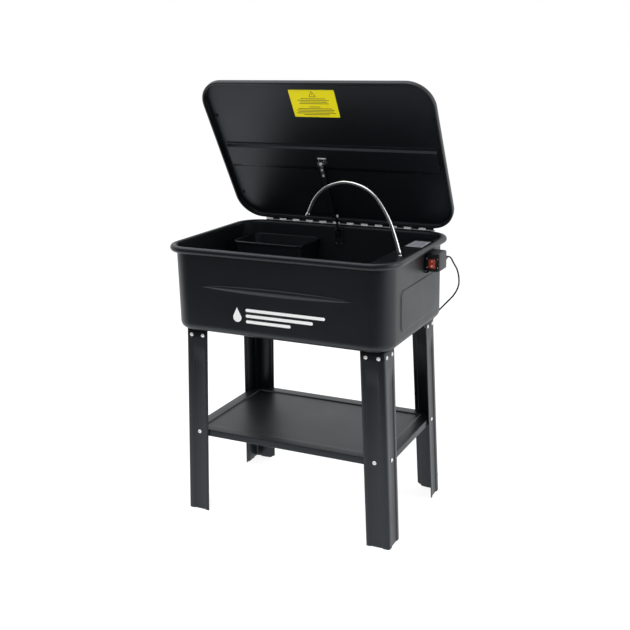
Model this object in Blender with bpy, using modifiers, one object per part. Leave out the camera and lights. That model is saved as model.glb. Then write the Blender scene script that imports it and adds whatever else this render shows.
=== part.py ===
"""Parts washer tank: a pressed tub on four splayed legs, with a hinged lid held open by a jointed stay.

Metres, +Z up. The floor is z = 0, the front faces -Y, and the tank's middle is x = y = 0.
"""

import math

import bmesh
import bpy
from mathutils import Matrix, Vector

GAP = 0.0003  # between pieces that touch
THIN_SHEET = 0.0010  # lid, shelves, tray and pump cover
M6_RADIUS, M6_HEAD, PIVOT_RADIUS = 0.0030, 0.0055, 0.0030
HOLE_EASE = 0.0004  # a hole's radius over its bolt's or pin's

# Tank
RIM_WIDTH, RIM_DEPTH, RIM_TOP = 0.800, 0.556, 0.932
TANK_BOTTOM = 0.653
TANK_SHEET = 0.0012
BEAD_RADIUS = 0.011
BEND_RADIUS = 0.0225  # between the tank's floor and its walls
WALL_X = RIM_WIDTH / 2 - 2 * BEAD_RADIUS  # inner faces of the walls
WALL_Y = RIM_DEPTH / 2 - 2 * BEAD_RADIUS
CORNER_RADIUS = 0.068
TANK_FLOOR = TANK_BOTTOM + TANK_SHEET
DRAIN_RADIUS = 0.011

# Legs and lower shelf
LEG_FACE, LEG_SHEET, LEG_RECESS, LEG_BEND = 0.080, 0.0015, 0.003, 0.008
FOOT_X, FOOT_Y = 0.3765, 0.2352  # outer corner of a foot
SPLAY_X, SPLAY_Y = 0.0377, 0.0219  # metres inwards for each metre of height
LEG_TOP = TANK_BOTTOM - GAP
LEG_PANEL_TOP, LEG_PANEL_FADE = 0.585, 0.012
FOOT_CORNER = (0.020, 0.011)  # clipped off the back feet, along and up
TOP_BOLT_Z, TOP_BOLT_PLACES = 0.629, (0.0195, 0.0620)
SHELF_BOLT_Z, SHELF_BOLT_PLACE = 0.288, 0.0445
SHELF_TOP, SHELF_FLANGE, SHELF_RIM = 0.2985, 0.0235, 0.036
BRACKET_SHEET, BRACKET_FACE, BRACKET_BOTTOM = 0.0025, 0.074, 0.603

# Lid, drawn closed and then turned about its hinge
HINGE_Y, HINGE_Z = 0.2695, 0.9381
LID_ANGLE = math.radians(61)
LID_HALF_X, LID_FRONT, LID_BACK = 0.4115, -0.2890, 0.2649
LID_LIP, LID_TOP, LID_CORNER, LID_BEND = 0.9350, 0.9570, 0.088, 0.008
STIFFENER_NEAR, STIFFENER_FAR, STIFFENER_FACE, STIFFENER_HALF_X = 0.225, 0.305, 0.947, 0.385
KNUCKLES, HINGE_LENGTH, HINGE_X, KNUCKLE_RADIUS, PIN_RADIUS = 24, 0.644, 0.008, 0.004, 0.00175

# Stay: a lid pivot, an elbow and a tank pivot, as (y, z), with the lid open
STAY_X = -0.025
LID_PIVOT = (-0.255, -0.006)  # from the hinge, with the lid closed
ELBOW = (0.233, 0.968)
TANK_PIVOT = (0.240, 0.905)
LOWER_ARM_X = STAY_X + 0.0105

# Inside the tank
WORK_SHELF_TOP = 0.8055
COVER_LEFT, COVER_TOP, SKIRT_HALF = 0.276, 0.905, 0.225
TRAY_CENTRE, TRAY_HALF, TRAY_TOP, TRAY_RADIUS = (-0.2145, 0.162), (0.1355, 0.087), 0.886, 0.028
WORK_SHELF_EASE, COVER_EASE = 0.0035, 0.0015  # inside the tank's walls
SPOUT_X, SPOUT_Y, SPOUT_PIVOT_Z = 0.3454, -0.0793, 0.9175
SPOUT_RADIUS = 0.0055
SPOUT_ROUTE = (  # distance left of the base, height above its pivot
    (0.0022, 0.0066), (0.0156, 0.0490), (0.0405, 0.1082), (0.0809, 0.1660), (0.1172, 0.1938),
    (0.1599, 0.2076), (0.2030, 0.2108), (0.2431, 0.2024), (0.2822, 0.1849), (0.3196, 0.1503),
    (0.3450, 0.1040),
)
SPOUT_TURN = math.radians(10)  # the spout's plane, from the tank's width

# Switch box and cord
BOX_LOW, BOX_HIGH = (WALL_X + TANK_SHEET + 2 * GAP, 0.0475, 0.8450), (0.4285, 0.1205, 0.9050)
ROCKER_CENTRE, ROCKER_SIZE = (0.4040, 0.8710), (0.0216, 0.0286)
ROCKER_AXIS_Y, ROCKER_TILT = 0.0525, math.radians(6)
CORD_RADIUS = 0.00275
GLAND = (0.4200, 0.1208, 0.8760)
GLAND_LENGTH = 0.0240
CORD_ROUTE = (
    (0.4200, 0.1452, 0.8760), (0.4200, 0.1530, 0.8760), (0.4205, 0.1830, 0.8660),
    (0.4210, 0.2160, 0.8400), (0.4205, 0.2570, 0.8080), (0.4190, 0.2820, 0.7720),
    (0.4130, 0.2930, 0.7400),
    (0.3960, 0.2960, 0.7080), (0.3680, 0.2930, 0.6760), (0.3360, 0.2840, 0.6360),
    (0.3120, 0.2750, 0.5800), (0.3030, 0.2710, 0.5000), (0.3050, 0.2700, 0.4000),
    (0.3090, 0.2700, 0.3000), (0.3140, 0.2700, 0.2000), (0.3190, 0.2700, 0.1000),
    (0.3220, 0.2715, 0.0450), (0.3262, 0.2790, 0.0160), (0.3325, 0.2985, 0.0044),
    (0.3357, 0.3200, 0.0031), (0.3357, 0.3300, 0.0031),
)
COIL_CENTRE, COIL_RADIUS = (0.300, 0.335), 0.0275  # mean radius of the wound turns
COIL_HALF = 2 * CORD_RADIUS  # two turns wide and two high
PLUG_RADIUS, PLUG_LENGTH = 0.0172, 0.0500
PLUG_NOSE, PLUG_DIRECTION = Vector((0.3002, 0.3719, 0.0175)), Vector((-0.323, 0.946, 0.0)).normalized()

SHARP_ANGLE = math.radians(35)

COLOURS = {
    "black_powder_coat": ((0.014, 0.016, 0.018), 0.38, 0.0),
    "zinc": ((0.72, 0.72, 0.70), 0.30, 1.0),
    "chrome": ((0.80, 0.80, 0.80), 0.12, 1.0),
    "black_plastic": ((0.020, 0.020, 0.022), 0.50, 0.0),
    "red_plastic": ((0.55, 0.06, 0.03), 0.30, 0.0),
    "black_rubber": ((0.015, 0.015, 0.015), 0.65, 0.0),
    "clear_hose": ((0.35, 0.36, 0.34), 0.35, 0.0),
}


def clear_scene():
    for obj in list(bpy.data.objects):
        bpy.data.objects.remove(obj)


def collection(name, hidden):
    made = bpy.data.collections.new(name)
    bpy.context.scene.collection.children.link(made)
    made.hide_render = hidden
    return made


def material(name):
    colour, roughness, metallic = COLOURS[name]
    made = bpy.data.materials.get(name) or bpy.data.materials.new(name)
    made.use_nodes = True
    shader = made.node_tree.nodes["Principled BSDF"]
    shader.inputs["Base Color"].default_value = (*colour, 1.0)
    shader.inputs["Roughness"].default_value = roughness
    shader.inputs["Metallic"].default_value = metallic
    return made


def axis_empty(name, location, rotation=(0.0, 0.0, 0.0)):
    """An empty on a joint's axis; the pieces that turn or slide with it are its children."""
    empty = bpy.data.objects.new(name, None)
    empty.location = location
    empty.rotation_euler = rotation
    empty.empty_display_size = 0.03
    PARTS.objects.link(empty)
    return empty


def add_object(name, data, look=None, axis=None):
    """A named part, or with no look a hidden cutter. With an axis, its mesh is drawn round that empty."""
    obj = bpy.data.objects.new(name, data)
    if axis:
        data.transform(Matrix.Translation(-axis.location))
        obj.parent = axis
    if look:
        data.materials.append(material(look))
        PARTS.objects.link(obj)
    else:
        obj.hide_render = True
        obj.display_type = "WIRE"
        CUTTERS.objects.link(obj)
    return obj


def add_mesh(name, bm, look=None, axis=None):
    bmesh.ops.remove_doubles(bm, verts=bm.verts, dist=1e-6)
    bmesh.ops.recalc_face_normals(bm, faces=bm.faces)
    mesh = bpy.data.meshes.new(name)
    bm.to_mesh(mesh)
    bm.free()
    mesh.shade_smooth()
    mesh.set_sharp_from_angle(angle=SHARP_ANGLE)
    return add_object(name, mesh, look, axis)


def boolean(obj, other, operation):
    modifier = obj.modifiers.new(f"{operation} {other.name}", "BOOLEAN")
    modifier.object = other
    modifier.operation = operation
    modifier.solver = "EXACT"


def solidify(obj, thickness):
    """Gives a surface its sheet thickness, on the side its normals point away from."""
    modifier = obj.modifiers.new("Sheet", "SOLIDIFY")
    modifier.thickness = thickness
    modifier.offset = -1.0
    modifier.use_even_offset = True


def bevel(obj, width, segments=2):
    modifier = obj.modifiers.new("Edges", "BEVEL")
    modifier.width = width
    modifier.segments = segments
    modifier.angle_limit = math.radians(40)


def rounded_ring(half_x, half_y, radius, z, centre=(0.0, 0.0), steps=8):
    """Points of a rounded rectangle, counter-clockwise seen from above."""
    radius = max(radius, 0.0005)
    ring = []
    for quarter, (side_x, side_y) in enumerate(((1, 1), (-1, 1), (-1, -1), (1, -1))):
        for step in range(steps + 1):
            angle = math.radians(90 * (quarter + step / steps))
            x = side_x * (half_x - radius) + radius * math.cos(angle)
            y = side_y * (half_y - radius) + radius * math.sin(angle)
            ring.append(Vector((centre[0] + x, centre[1] + y, z)))
    return ring


def loft(rings, closed_end=True):
    """Skins rings of matching points and caps the first, and the last too if it is a solid's end."""
    bm = bmesh.new()
    rows = [[bm.verts.new(point) for point in ring] for ring in rings]
    for lower, upper in zip(rows, rows[1:]):
        for corner in range(len(lower)):
            bm.faces.new((lower[corner - 1], lower[corner], upper[corner], upper[corner - 1]))
    for row in (rows[0], rows[-1]) if closed_end else (rows[0],):
        bm.faces.new(row)
    return bm


def pan(name, profile, half, radius, look, thickness, axis=None, centre=(0.0, 0.0), steps=8):
    """A pressed sheet: a rounded rectangle followed along a profile of (inset, z) from its middle."""
    rings = [
        rounded_ring(half[0] - inset, half[1] - inset, radius - inset, z, centre, steps)
        for inset, z in profile
    ]
    obj = add_mesh(name, loft(rings, closed_end=False), look)
    if obj.data.polygons[-1].normal.z < 0:
        obj.data.flip_normals()
    if axis:
        obj.data.transform(Matrix.Translation(-axis.location))
        obj.parent = axis
    solidify(obj, thickness)
    return obj


def add_box(bm, low, high):
    low, high = Vector(low), Vector(high)
    size = Matrix.Diagonal((*(high - low), 1.0))
    bmesh.ops.create_cube(bm, size=1.0, matrix=Matrix.Translation((low + high) / 2) @ size)


def add_cylinder(bm, radius, start, end, segments=12):
    start, end = Vector(start), Vector(end)
    turn = (end - start).to_track_quat("Z", "Y").to_matrix().to_4x4()
    bmesh.ops.create_cone(
        bm, cap_ends=True, segments=segments, radius1=radius, radius2=radius,
        depth=(end - start).length, matrix=Matrix.Translation((start + end) / 2) @ turn,
    )


def box(name, low, high, look=None, axis=None):
    bm = bmesh.new()
    add_box(bm, low, high)
    return add_mesh(name, bm, look, axis)


def cylinder(name, radius, start, end, look=None, axis=None, segments=12):
    bm = bmesh.new()
    add_cylinder(bm, radius, start, end, segments)
    return add_mesh(name, bm, look, axis)


def turned(name, profile, location, direction, look, steps=12, closed=False):
    """Turns a profile of (radius, height) about an axis through location along direction."""
    bm = bmesh.new()
    verts = [bm.verts.new((radius, 0.0, height)) for radius, height in profile]
    pairs = list(zip(verts, verts[1:])) + ([(verts[-1], verts[0])] if closed else [])
    for pair in pairs:
        bm.edges.new(pair)
    mesh = bpy.data.meshes.new(name)
    bm.to_mesh(mesh)
    bm.free()
    obj = add_object(name, mesh, look)
    obj.location = location
    obj.rotation_euler = Vector(direction).to_track_quat("Z", "Y").to_euler()
    screw = obj.modifiers.new("Turned", "SCREW")
    screw.steps = screw.render_steps = steps
    screw.use_merge_vertices = True
    screw.merge_threshold = 1e-5
    screw.use_normal_flip = True
    return obj


def tank():
    arc = [math.radians(90 - 18 * step) for step in range(6)]
    floor_bend = [
        (BEND_RADIUS * (1 - math.cos(a)), TANK_FLOOR + BEND_RADIUS * (1 - math.sin(a))) for a in arc
    ]
    bead = [math.radians(180 - 30 * step) for step in range(11)]
    rim = [
        (-BEAD_RADIUS * (1 + math.cos(a)), RIM_TOP - BEAD_RADIUS * (1 - math.sin(a))) for a in bead
    ]
    profile = floor_bend + rim
    tub = pan("tank", profile, (WALL_X, WALL_Y), CORNER_RADIUS, "black_powder_coat", TANK_SHEET, steps=7)
    boolean(tub, front_swage(), "UNION")
    for side in (-1, 1):
        boolean(tub, side_panel(side), "UNION")
    boolean(tub, work_shelf_ledges(), "UNION")
    drain = cylinder("drain_hole", DRAIN_RADIUS + GAP, (0, 0, 0.64), (0, 0, 0.67), segments=20)
    boolean(tub, drain, "DIFFERENCE")


def front_swage():
    """The long ridge across the front, widest in the middle and pointed at both ends."""
    middle, half_length, half_height, rise = Vector((0.0035, 0.0, 0.8075)), 0.261, 0.0125, 0.0045
    wall = -(WALL_Y + TANK_SHEET)
    bm = bmesh.new()
    for step in range(-6, 7):
        along = step / 6.2
        spread = half_height * (1 - along * along) ** 0.75
        out = rise * (1 - along * along) ** 0.5
        for y, share in ((wall + TANK_SHEET / 2, 1.0), (wall, 0.96), (wall - out, 0.3)):
            for side in (-1, 1):
                bm.verts.new(middle + Vector((along * half_length, y, side * share * spread)))
    bmesh.ops.convex_hull(bm, input=bm.verts)
    return add_mesh("front_swage", bm)


def side_panel(side):
    """The shallow raised panel on an end wall."""
    wall = WALL_X + TANK_SHEET
    rings = []
    for x, inset in ((wall - TANK_SHEET / 2, 0.0), (wall + 0.0002, 0.0), (wall + 0.0024, 0.0030)):
        flat = rounded_ring(0.158 - inset, 0.066 - inset, 0.022 - inset, 0.0, steps=4)
        rings.append([Vector((side * x, p.x, 0.7615 + p.y)) for p in flat])
    return add_mesh(f"side_panel_{side}", loft(rings))


def work_shelf_ledges():
    bm = bmesh.new()
    for x in (-0.25, 0.15):
        for side in (-1, 1):
            ends = sorted((side * (WALL_Y + TANK_SHEET / 2), side * (WALL_Y - 0.012)))
            add_box(bm, (x - 0.015, ends[0], 0.7840), (x + 0.015, ends[1], 0.7869))
    return add_mesh("work_shelf_ledges", bm)


def drain_plug():
    profile = (
        (0.0, 0.6440), (0.0150, 0.6440), (0.0170, 0.6455), (0.0170, TANK_BOTTOM - GAP),
        (DRAIN_RADIUS, TANK_BOTTOM - GAP), (DRAIN_RADIUS, 0.6575), (0.0, 0.6575),
    )
    turned("drain_plug", profile, (0, 0, 0), (0, 0, 1), "zinc", steps=20)


def leg_place(side_x, side_y, along_x, along_y, z):
    """A point on a leg: along_x and along_y are measured inwards from its outer corner."""
    x = FOOT_X - SPLAY_X * z - along_x
    y = FOOT_Y - SPLAY_Y * z - along_y
    return Vector((side_x * x, side_y * y, z))


def leg_outline(recess, inner=0.0, sheet=LEG_SHEET, face=LEG_FACE):
    """An L of sheet as (along_x, along_y) from its outer corner, with a pressed panel in each face."""
    def face_line(depth):
        return [(face, depth), (0.067, depth), (0.063, depth + recess),
                (0.025, depth + recess), (0.021, depth)]

    def bend(depth):
        radius = LEG_BEND - depth
        turn = [math.radians(22.5 * step) for step in range(5)]
        return [(LEG_BEND - radius * math.sin(a), LEG_BEND - radius * math.cos(a)) for a in turn]

    def skin(depth):
        first = face_line(depth)
        return first + bend(depth) + [(y, x) for x, y in reversed(first)]

    return skin(inner) + skin(inner + sheet)[::-1]


def leg(side_x, side_y, name):
    rings = []
    flat = LEG_PANEL_TOP + LEG_PANEL_FADE
    for z, recess in ((0.0, LEG_RECESS), (LEG_PANEL_TOP, LEG_RECESS), (flat, 0.0), (LEG_TOP, 0.0)):
        rings.append([leg_place(side_x, side_y, *point, z) for point in leg_outline(recess)])
    post = add_mesh(name, loft(rings), "black_powder_coat")
    if side_y > 0:
        along, up = FOOT_CORNER
        corner = ((LEG_FACE - 2 * along, -up), (LEG_FACE + along, -up), (LEG_FACE + along, 2 * up))
        rings = [[leg_place(side_x, side_y, x, y, z) for x, z in corner] for y in (-0.01, 0.01)]
        boolean(post, add_mesh(f"{name}_corner", loft(rings)), "DIFFERENCE")
    return post


def leg_bracket(side_x, side_y, name):
    """The angle under the tank that a leg's top bolts to."""
    inner = LEG_SHEET + GAP
    outline = leg_outline(0.0, inner, BRACKET_SHEET, BRACKET_FACE)
    plate_bottom = LEG_TOP - BRACKET_SHEET
    heights = (BRACKET_BOTTOM, plate_bottom + BRACKET_SHEET / 2)
    rings = [[leg_place(side_x, side_y, *point, z) for point in outline] for z in heights]
    angle = add_mesh(name, loft(rings), "black_powder_coat")
    corners = ((0.0048, 0.0048), (0.0730, 0.0028), (0.0730, 0.030), (0.030, 0.0730), (0.0028, 0.0730))
    plate = [[leg_place(side_x, side_y, *p, z) for p in corners] for z in (plate_bottom, LEG_TOP)]
    boolean(angle, add_mesh(f"{name}_plate", loft(plate)), "UNION")
    return angle


def leg_bolts(side_x, side_y):
    """(name, point on the leg's surface, outward direction, grip) of the six bolts on a leg."""
    wide = Vector((0.0, side_y, SPLAY_Y)).normalized()
    end = Vector((side_x, 0.0, SPLAY_X)).normalized()
    top_grip = LEG_SHEET + BRACKET_SHEET + 3 * GAP
    found = []
    for number, place in enumerate(TOP_BOLT_PLACES):
        on_face = leg_place(side_x, side_y, place, 0.0, TOP_BOLT_Z)
        on_side = leg_place(side_x, side_y, 0.0, place, TOP_BOLT_Z)
        found.append((f"face_{number}", on_face, wide, top_grip))
        found.append((f"side_{number}", on_side, end, top_grip))
    place, depth = SHELF_BOLT_PLACE, LEG_RECESS
    shelf_grip = LEG_SHEET + THIN_SHEET + 5 * GAP
    found.append(("shelf_face", leg_place(side_x, side_y, place, depth, SHELF_BOLT_Z), wide, shelf_grip))
    found.append(("shelf_side", leg_place(side_x, side_y, depth, place, SHELF_BOLT_Z), end, shelf_grip))
    return found


def bolt(name, point, direction, grip):
    """A pan-head bolt with its nut, drawn as one turned piece."""
    nut = grip + 0.004
    profile = (
        (0.0, -nut), (M6_HEAD, -nut), (M6_HEAD, -grip), (M6_RADIUS, -grip),
        (M6_RADIUS, GAP), (M6_HEAD, GAP), (M6_HEAD, 0.0018), (0.0034, 0.0034), (0.0, 0.0038),
    )
    turned(name, profile, point, direction, "zinc", steps=8)


def legs_and_shelf():
    shelf = lower_shelf()
    for end_name, side_y in (("front", -1), ("back", 1)):
        for side_name, side_x in (("left", -1), ("right", 1)):
            place = f"{end_name}_{side_name}"
            post = leg(side_x, side_y, f"leg_{place}")
            bracket = leg_bracket(side_x, side_y, f"leg_bracket_{place}")
            holes = bmesh.new()
            for name, point, direction, grip in leg_bolts(side_x, side_y):
                bolt(f"bolt_{place}_{name}", point, direction, grip)
                ends = (point + direction * 0.004, point - direction * 0.010)
                add_cylinder(holes, M6_RADIUS + HOLE_EASE, *ends, 10)
            cutter = add_mesh(f"bolt_holes_{place}", holes)
            for piece in (post, bracket, shelf):
                boolean(piece, cutter, "DIFFERENCE")


def lower_shelf():
    inside = LEG_SHEET + LEG_RECESS + 2 * GAP
    half = (FOOT_X - SPLAY_X * SHELF_TOP - inside, FOOT_Y - SPLAY_Y * SHELF_TOP - inside)
    profile = (
        (SHELF_RIM + 0.004, SHELF_TOP - 0.004), (SHELF_RIM, SHELF_TOP), (0.0025, SHELF_TOP),
        (0.0008, SHELF_TOP - 0.0008), (0.0, SHELF_TOP - 0.0025), (0.0, SHELF_TOP - SHELF_FLANGE),
    )
    return pan("lower_shelf", profile, half, 0.010, "black_powder_coat", THIN_SHEET, steps=4)


def lid(axis):
    half = (LID_HALF_X, (LID_BACK - LID_FRONT) / 2)
    centre = (0.0, (LID_BACK + LID_FRONT) / 2)
    arc = [math.radians(22.5 * step) for step in range(5)]
    top_bend = [(LID_BEND * (1 - math.sin(a)), LID_TOP - LID_BEND * (1 - math.cos(a))) for a in arc]
    hem = [(0.0, LID_LIP + 0.0030), (0.0009, LID_LIP + 0.0009), (0.0030, LID_LIP), (0.0065, LID_LIP)]
    pan("lid", top_bend + hem, half, LID_CORNER, "black_powder_coat", THIN_SHEET, axis, centre, steps=7)


def lid_stiffener(axis):
    """A shallow channel across the lid's inside, open towards the lid's sheet."""
    inner_face = LID_TOP - THIN_SHEET - GAP
    near, far, face = HINGE_Y - STIFFENER_NEAR, HINGE_Y - STIFFENER_FAR, STIFFENER_FACE
    lean, sheet = 0.002, THIN_SHEET
    outer = ((far, inner_face), (far + lean, face), (near - lean, face), (near, inner_face))
    inner = ((near - sheet, inner_face), (near - lean - sheet, face + sheet),
             (far + lean + sheet, face + sheet), (far + sheet, inner_face))
    ends = (-STIFFENER_HALF_X, STIFFENER_HALF_X)
    rings = [[Vector((x, y, z)) for y, z in outer + inner] for x in ends]
    add_mesh("lid_stiffener", loft(rings), "black_powder_coat", axis)


def hinge_leaf(name, first, plate, pad_low, pad_high, look, axis=None):
    """A plate with every second knuckle, bored for the pin. The pads join knuckle and plate."""
    leaf = box(name, *plate, look, axis)
    pitch = HINGE_LENGTH / KNUCKLES
    added = bmesh.new()
    for number in range(first, KNUCKLES, 2):
        left = HINGE_X - HINGE_LENGTH / 2 + number * pitch + 0.0003
        right = left + pitch - 0.0006
        add_cylinder(added, KNUCKLE_RADIUS, (left, HINGE_Y, HINGE_Z), (right, HINGE_Y, HINGE_Z), 10)
    boolean(leaf, add_mesh(f"{name}_knuckles", added, axis=axis), "UNION")
    pads = bmesh.new()
    for number in range(first, KNUCKLES, 2):
        left = HINGE_X - HINGE_LENGTH / 2 + number * pitch + 0.0003
        right = left + pitch - 0.0006
        add_box(pads, (left + 0.0005, *pad_low), (right - 0.0005, *pad_high))
    boolean(leaf, add_mesh(f"{name}_pads", pads, axis=axis), "UNION")
    ends = [(HINGE_X + side * HINGE_LENGTH, HINGE_Y, HINGE_Z) for side in (-1, 1)]
    boolean(leaf, cylinder(f"{name}_bore", PIN_RADIUS + GAP, *ends, axis=axis, segments=8), "DIFFERENCE")


def piano_hinge(axis):
    left, right = HINGE_X - HINGE_LENGTH / 2, HINGE_X + HINGE_LENGTH / 2
    under = HINGE_Z - KNUCKLE_RADIUS
    tank_plate = ((left, 0.2655, RIM_TOP + GAP), (right + 0.004, 0.2765, under - GAP))
    pads = ((0.2670, under - 0.0010), (0.2720, under + 0.0012))
    hinge_leaf("hinge_leaf_tank", 0, tank_plate, *pads, "zinc")
    lid_plate = ((left, LID_BACK + GAP, 0.9426), (right, LID_BACK + GAP + 0.0014, 0.9556))
    pads = ((LID_BACK + GAP, 0.9385), (LID_BACK + 0.0030, 0.9430))
    hinge_leaf("hinge_leaf_lid", 1, lid_plate, *pads, "black_powder_coat", axis)
    ends = [(side, HINGE_Y, HINGE_Z) for side in (left - 0.001, right + 0.001)]
    cylinder("hinge_pin", PIN_RADIUS, *ends, "zinc")


def lid_pivot_open():
    """The stay's pivot on the lid, as (y, z), with the lid open."""
    y, z = LID_PIVOT
    cos, sin = math.cos(-LID_ANGLE), math.sin(-LID_ANGLE)
    return HINGE_Y + y * cos - z * sin, HINGE_Z + y * sin + z * cos


def stay_lid_bracket(axis):
    """A U of sheet under the stiffener that carries the stay's upper pivot."""
    y, z = HINGE_Y + LID_PIVOT[0], HINGE_Z + LID_PIVOT[1]
    top = STIFFENER_FACE - GAP
    low, high = (STAY_X - 0.016, y - 0.015, top - 0.002), (STAY_X + 0.016, y + 0.015, top)
    base = box("stay_lid_bracket", low, high, "zinc", axis)
    ears = bmesh.new()
    for side in (-1, 1):
        ends = sorted((STAY_X + side * 0.008, STAY_X + side * 0.010))
        add_box(ears, (ends[0], y - 0.008, z - 0.007), (ends[1], y + 0.008, top - 0.001))
    boolean(base, add_mesh("stay_lid_bracket_ears", ears, axis=axis), "UNION")
    ends = ((STAY_X - 0.03, y, z), (STAY_X + 0.03, y, z))
    hole = cylinder("stay_lid_bracket_hole", PIVOT_RADIUS + HOLE_EASE, *ends, axis=axis)
    boolean(base, hole, "DIFFERENCE")


def stay_frame(start, end):
    """Turns (x, along, out) of a stay arm into a point: along from start to end, out to the front."""
    along = Vector((0.0, end[0] - start[0], end[1] - start[1])).normalized()
    out = Vector((0.0, along.z, -along.y))
    origin = Vector((0.0, *start))
    return lambda x, u, w: origin + Vector((x, 0.0, 0.0)) + along * u + out * w


def prism(name, outline, low, high, frame, look=None, axis=None):
    """An outline of (x, out) carried along an arm from low to high."""
    rings = [[frame(x, u, w) for x, w in outline] for u in (low, high)]
    return add_mesh(name, loft(rings), look, axis)


def stay_upper(axis):
    start = lid_pivot_open()
    frame = stay_frame(start, ELBOW)
    length = (Vector(ELBOW) - Vector(start)).length
    x = STAY_X
    ends = (frame(x - 0.0075, 0, 0), frame(x + 0.0075, 0, 0))
    link = cylinder("stay_link", 0.0058, *ends, "zinc", axis, 16)
    strap = [(x - 0.0065, 0.0033), (x + 0.0065, 0.0033), (x + 0.0065, 0.0056), (x - 0.0065, 0.0056)]
    boolean(link, prism("stay_link_strap", strap, 0.0, 0.050, frame, axis=axis), "UNION")
    ends = (frame(x - 0.0125, 0, 0), frame(x + 0.0125, 0, 0))
    pin = cylinder("stay_link_pin", PIVOT_RADIUS, *ends, axis=axis)
    boolean(link, pin, "UNION")
    half, wall, web, edge = 0.007, 0.0015, 0.0030, -0.0065
    channel = [
        (x - half, edge), (x - half, web), (x + half, web), (x + half, edge), (x + half - wall, edge),
        (x + half - wall, web - wall), (x - half + wall, web - wall), (x - half + wall, edge),
    ]
    prism("stay_upper_arm", channel, 0.012, length + 0.008, frame, "black_powder_coat", axis)


def stay_lower(axis):
    frame = stay_frame(TANK_PIVOT, ELBOW)
    length = (Vector(ELBOW) - Vector(TANK_PIVOT)).length
    x, half = LOWER_ARM_X, 0.0015
    ring = []
    for middle, first in ((length, -90), (0.0, 90)):
        for step in range(7):
            angle = math.radians(first + 30 * step)
            ring.append((middle + 0.0065 * math.cos(angle), 0.0065 * math.sin(angle)))
    rings = [[frame(side, u, w) for u, w in ring] for side in (x - half, x + half)]
    arm = add_mesh("stay_lower_arm", loft(rings), "zinc", axis)
    ends = (frame(x - 0.0085, 0, 0), frame(x + 0.0085, 0, 0))
    pin = cylinder("stay_tank_pin", PIVOT_RADIUS, *ends, axis=axis)
    boolean(arm, pin, "UNION")
    ends = (frame(x - 0.01, length, 0), frame(x + 0.01, length, 0))
    boolean(arm, cylinder("stay_elbow_hole", PIVOT_RADIUS + HOLE_EASE, *ends, axis=axis), "DIFFERENCE")
    profile = ((0.0, -0.0019), (PIVOT_RADIUS, -0.0019), (PIVOT_RADIUS, half + GAP), (0.0056, half + GAP),
               (0.0056, 0.0040), (0.0034, 0.0056), (0.0, 0.0058))
    elbow = turned("stay_elbow_bolt", profile, (0, 0, 0), (1, 0, 0), "zinc")
    elbow.location = frame(x, length, 0) - axis.location
    elbow.parent = axis


def stay_tank_bracket():
    x, (y, z) = LOWER_ARM_X, TANK_PIVOT
    low, high = (x - 0.017, WALL_Y - GAP - 0.0025, 0.855), (x + 0.017, WALL_Y - GAP, 0.925)
    plate = box("stay_tank_bracket", low, high, "black_powder_coat")
    ears = bmesh.new()
    for side in (-1, 1):
        ends = sorted((x + side * 0.0045, x + side * 0.0065))
        add_box(ears, (ends[0], y - 0.009, z - 0.011), (ends[1], WALL_Y - GAP - 0.001, z + 0.011))
    boolean(plate, add_mesh("stay_tank_bracket_ears", ears), "UNION")
    ends = ((x - 0.03, y, z), (x + 0.03, y, z))
    hole = cylinder("stay_tank_bracket_hole", PIVOT_RADIUS + HOLE_EASE, *ends)
    boolean(plate, hole, "DIFFERENCE")


def parts_tray(axis):
    bottom = WORK_SHELF_TOP + GAP + 0.0012
    wall = (
        (0.020, bottom), (0.0145, bottom + 0.0015), (0.0125, bottom + 0.007), (0.006, TRAY_TOP - 0.006),
        (0.0055, TRAY_TOP - 0.002),
    )
    lip = ((0.0035, TRAY_TOP), (0.0010, TRAY_TOP - 0.0012), (0.0, TRAY_TOP - 0.005))
    pan("parts_tray", wall + lip, TRAY_HALF, TRAY_RADIUS, "black_powder_coat", THIN_SHEET, axis,
        TRAY_CENTRE, steps=5)


def work_shelf():
    """The drained shelf that the tray stands on: a flanged sheet with slots, on the tank's ledges."""
    left, right = WORK_SHELF_EASE - WALL_X, COVER_LEFT - WORK_SHELF_EASE
    half_x, half_y, flange = (right - left) / 2, WALL_Y - WORK_SHELF_EASE, 0.0180
    centre = ((left + right) / 2, 0.0)
    profile = ((0.030, WORK_SHELF_TOP), (0.0015, WORK_SHELF_TOP), (0.0, WORK_SHELF_TOP - 0.0015),
               (0.0, WORK_SHELF_TOP - flange))
    radius = CORNER_RADIUS - WORK_SHELF_EASE
    shelf = pan("work_shelf", profile, (half_x, half_y), radius, "black_powder_coat", THIN_SHEET,
                centre=centre, steps=5)
    slots, slot = bmesh.new(), Vector((0.030, 0.004, 0.010))  # half sizes of one
    for column in range(5):
        for row in range(4):
            x, y = left + 0.110 + 0.105 * column, -0.18 + 0.12 * row
            low, high = Vector((x, y, WORK_SHELF_TOP)) - slot, Vector((x, y, WORK_SHELF_TOP)) + slot
            add_box(slots, low, high)
    boolean(shelf, add_mesh("work_shelf_slots", slots), "DIFFERENCE")


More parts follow.
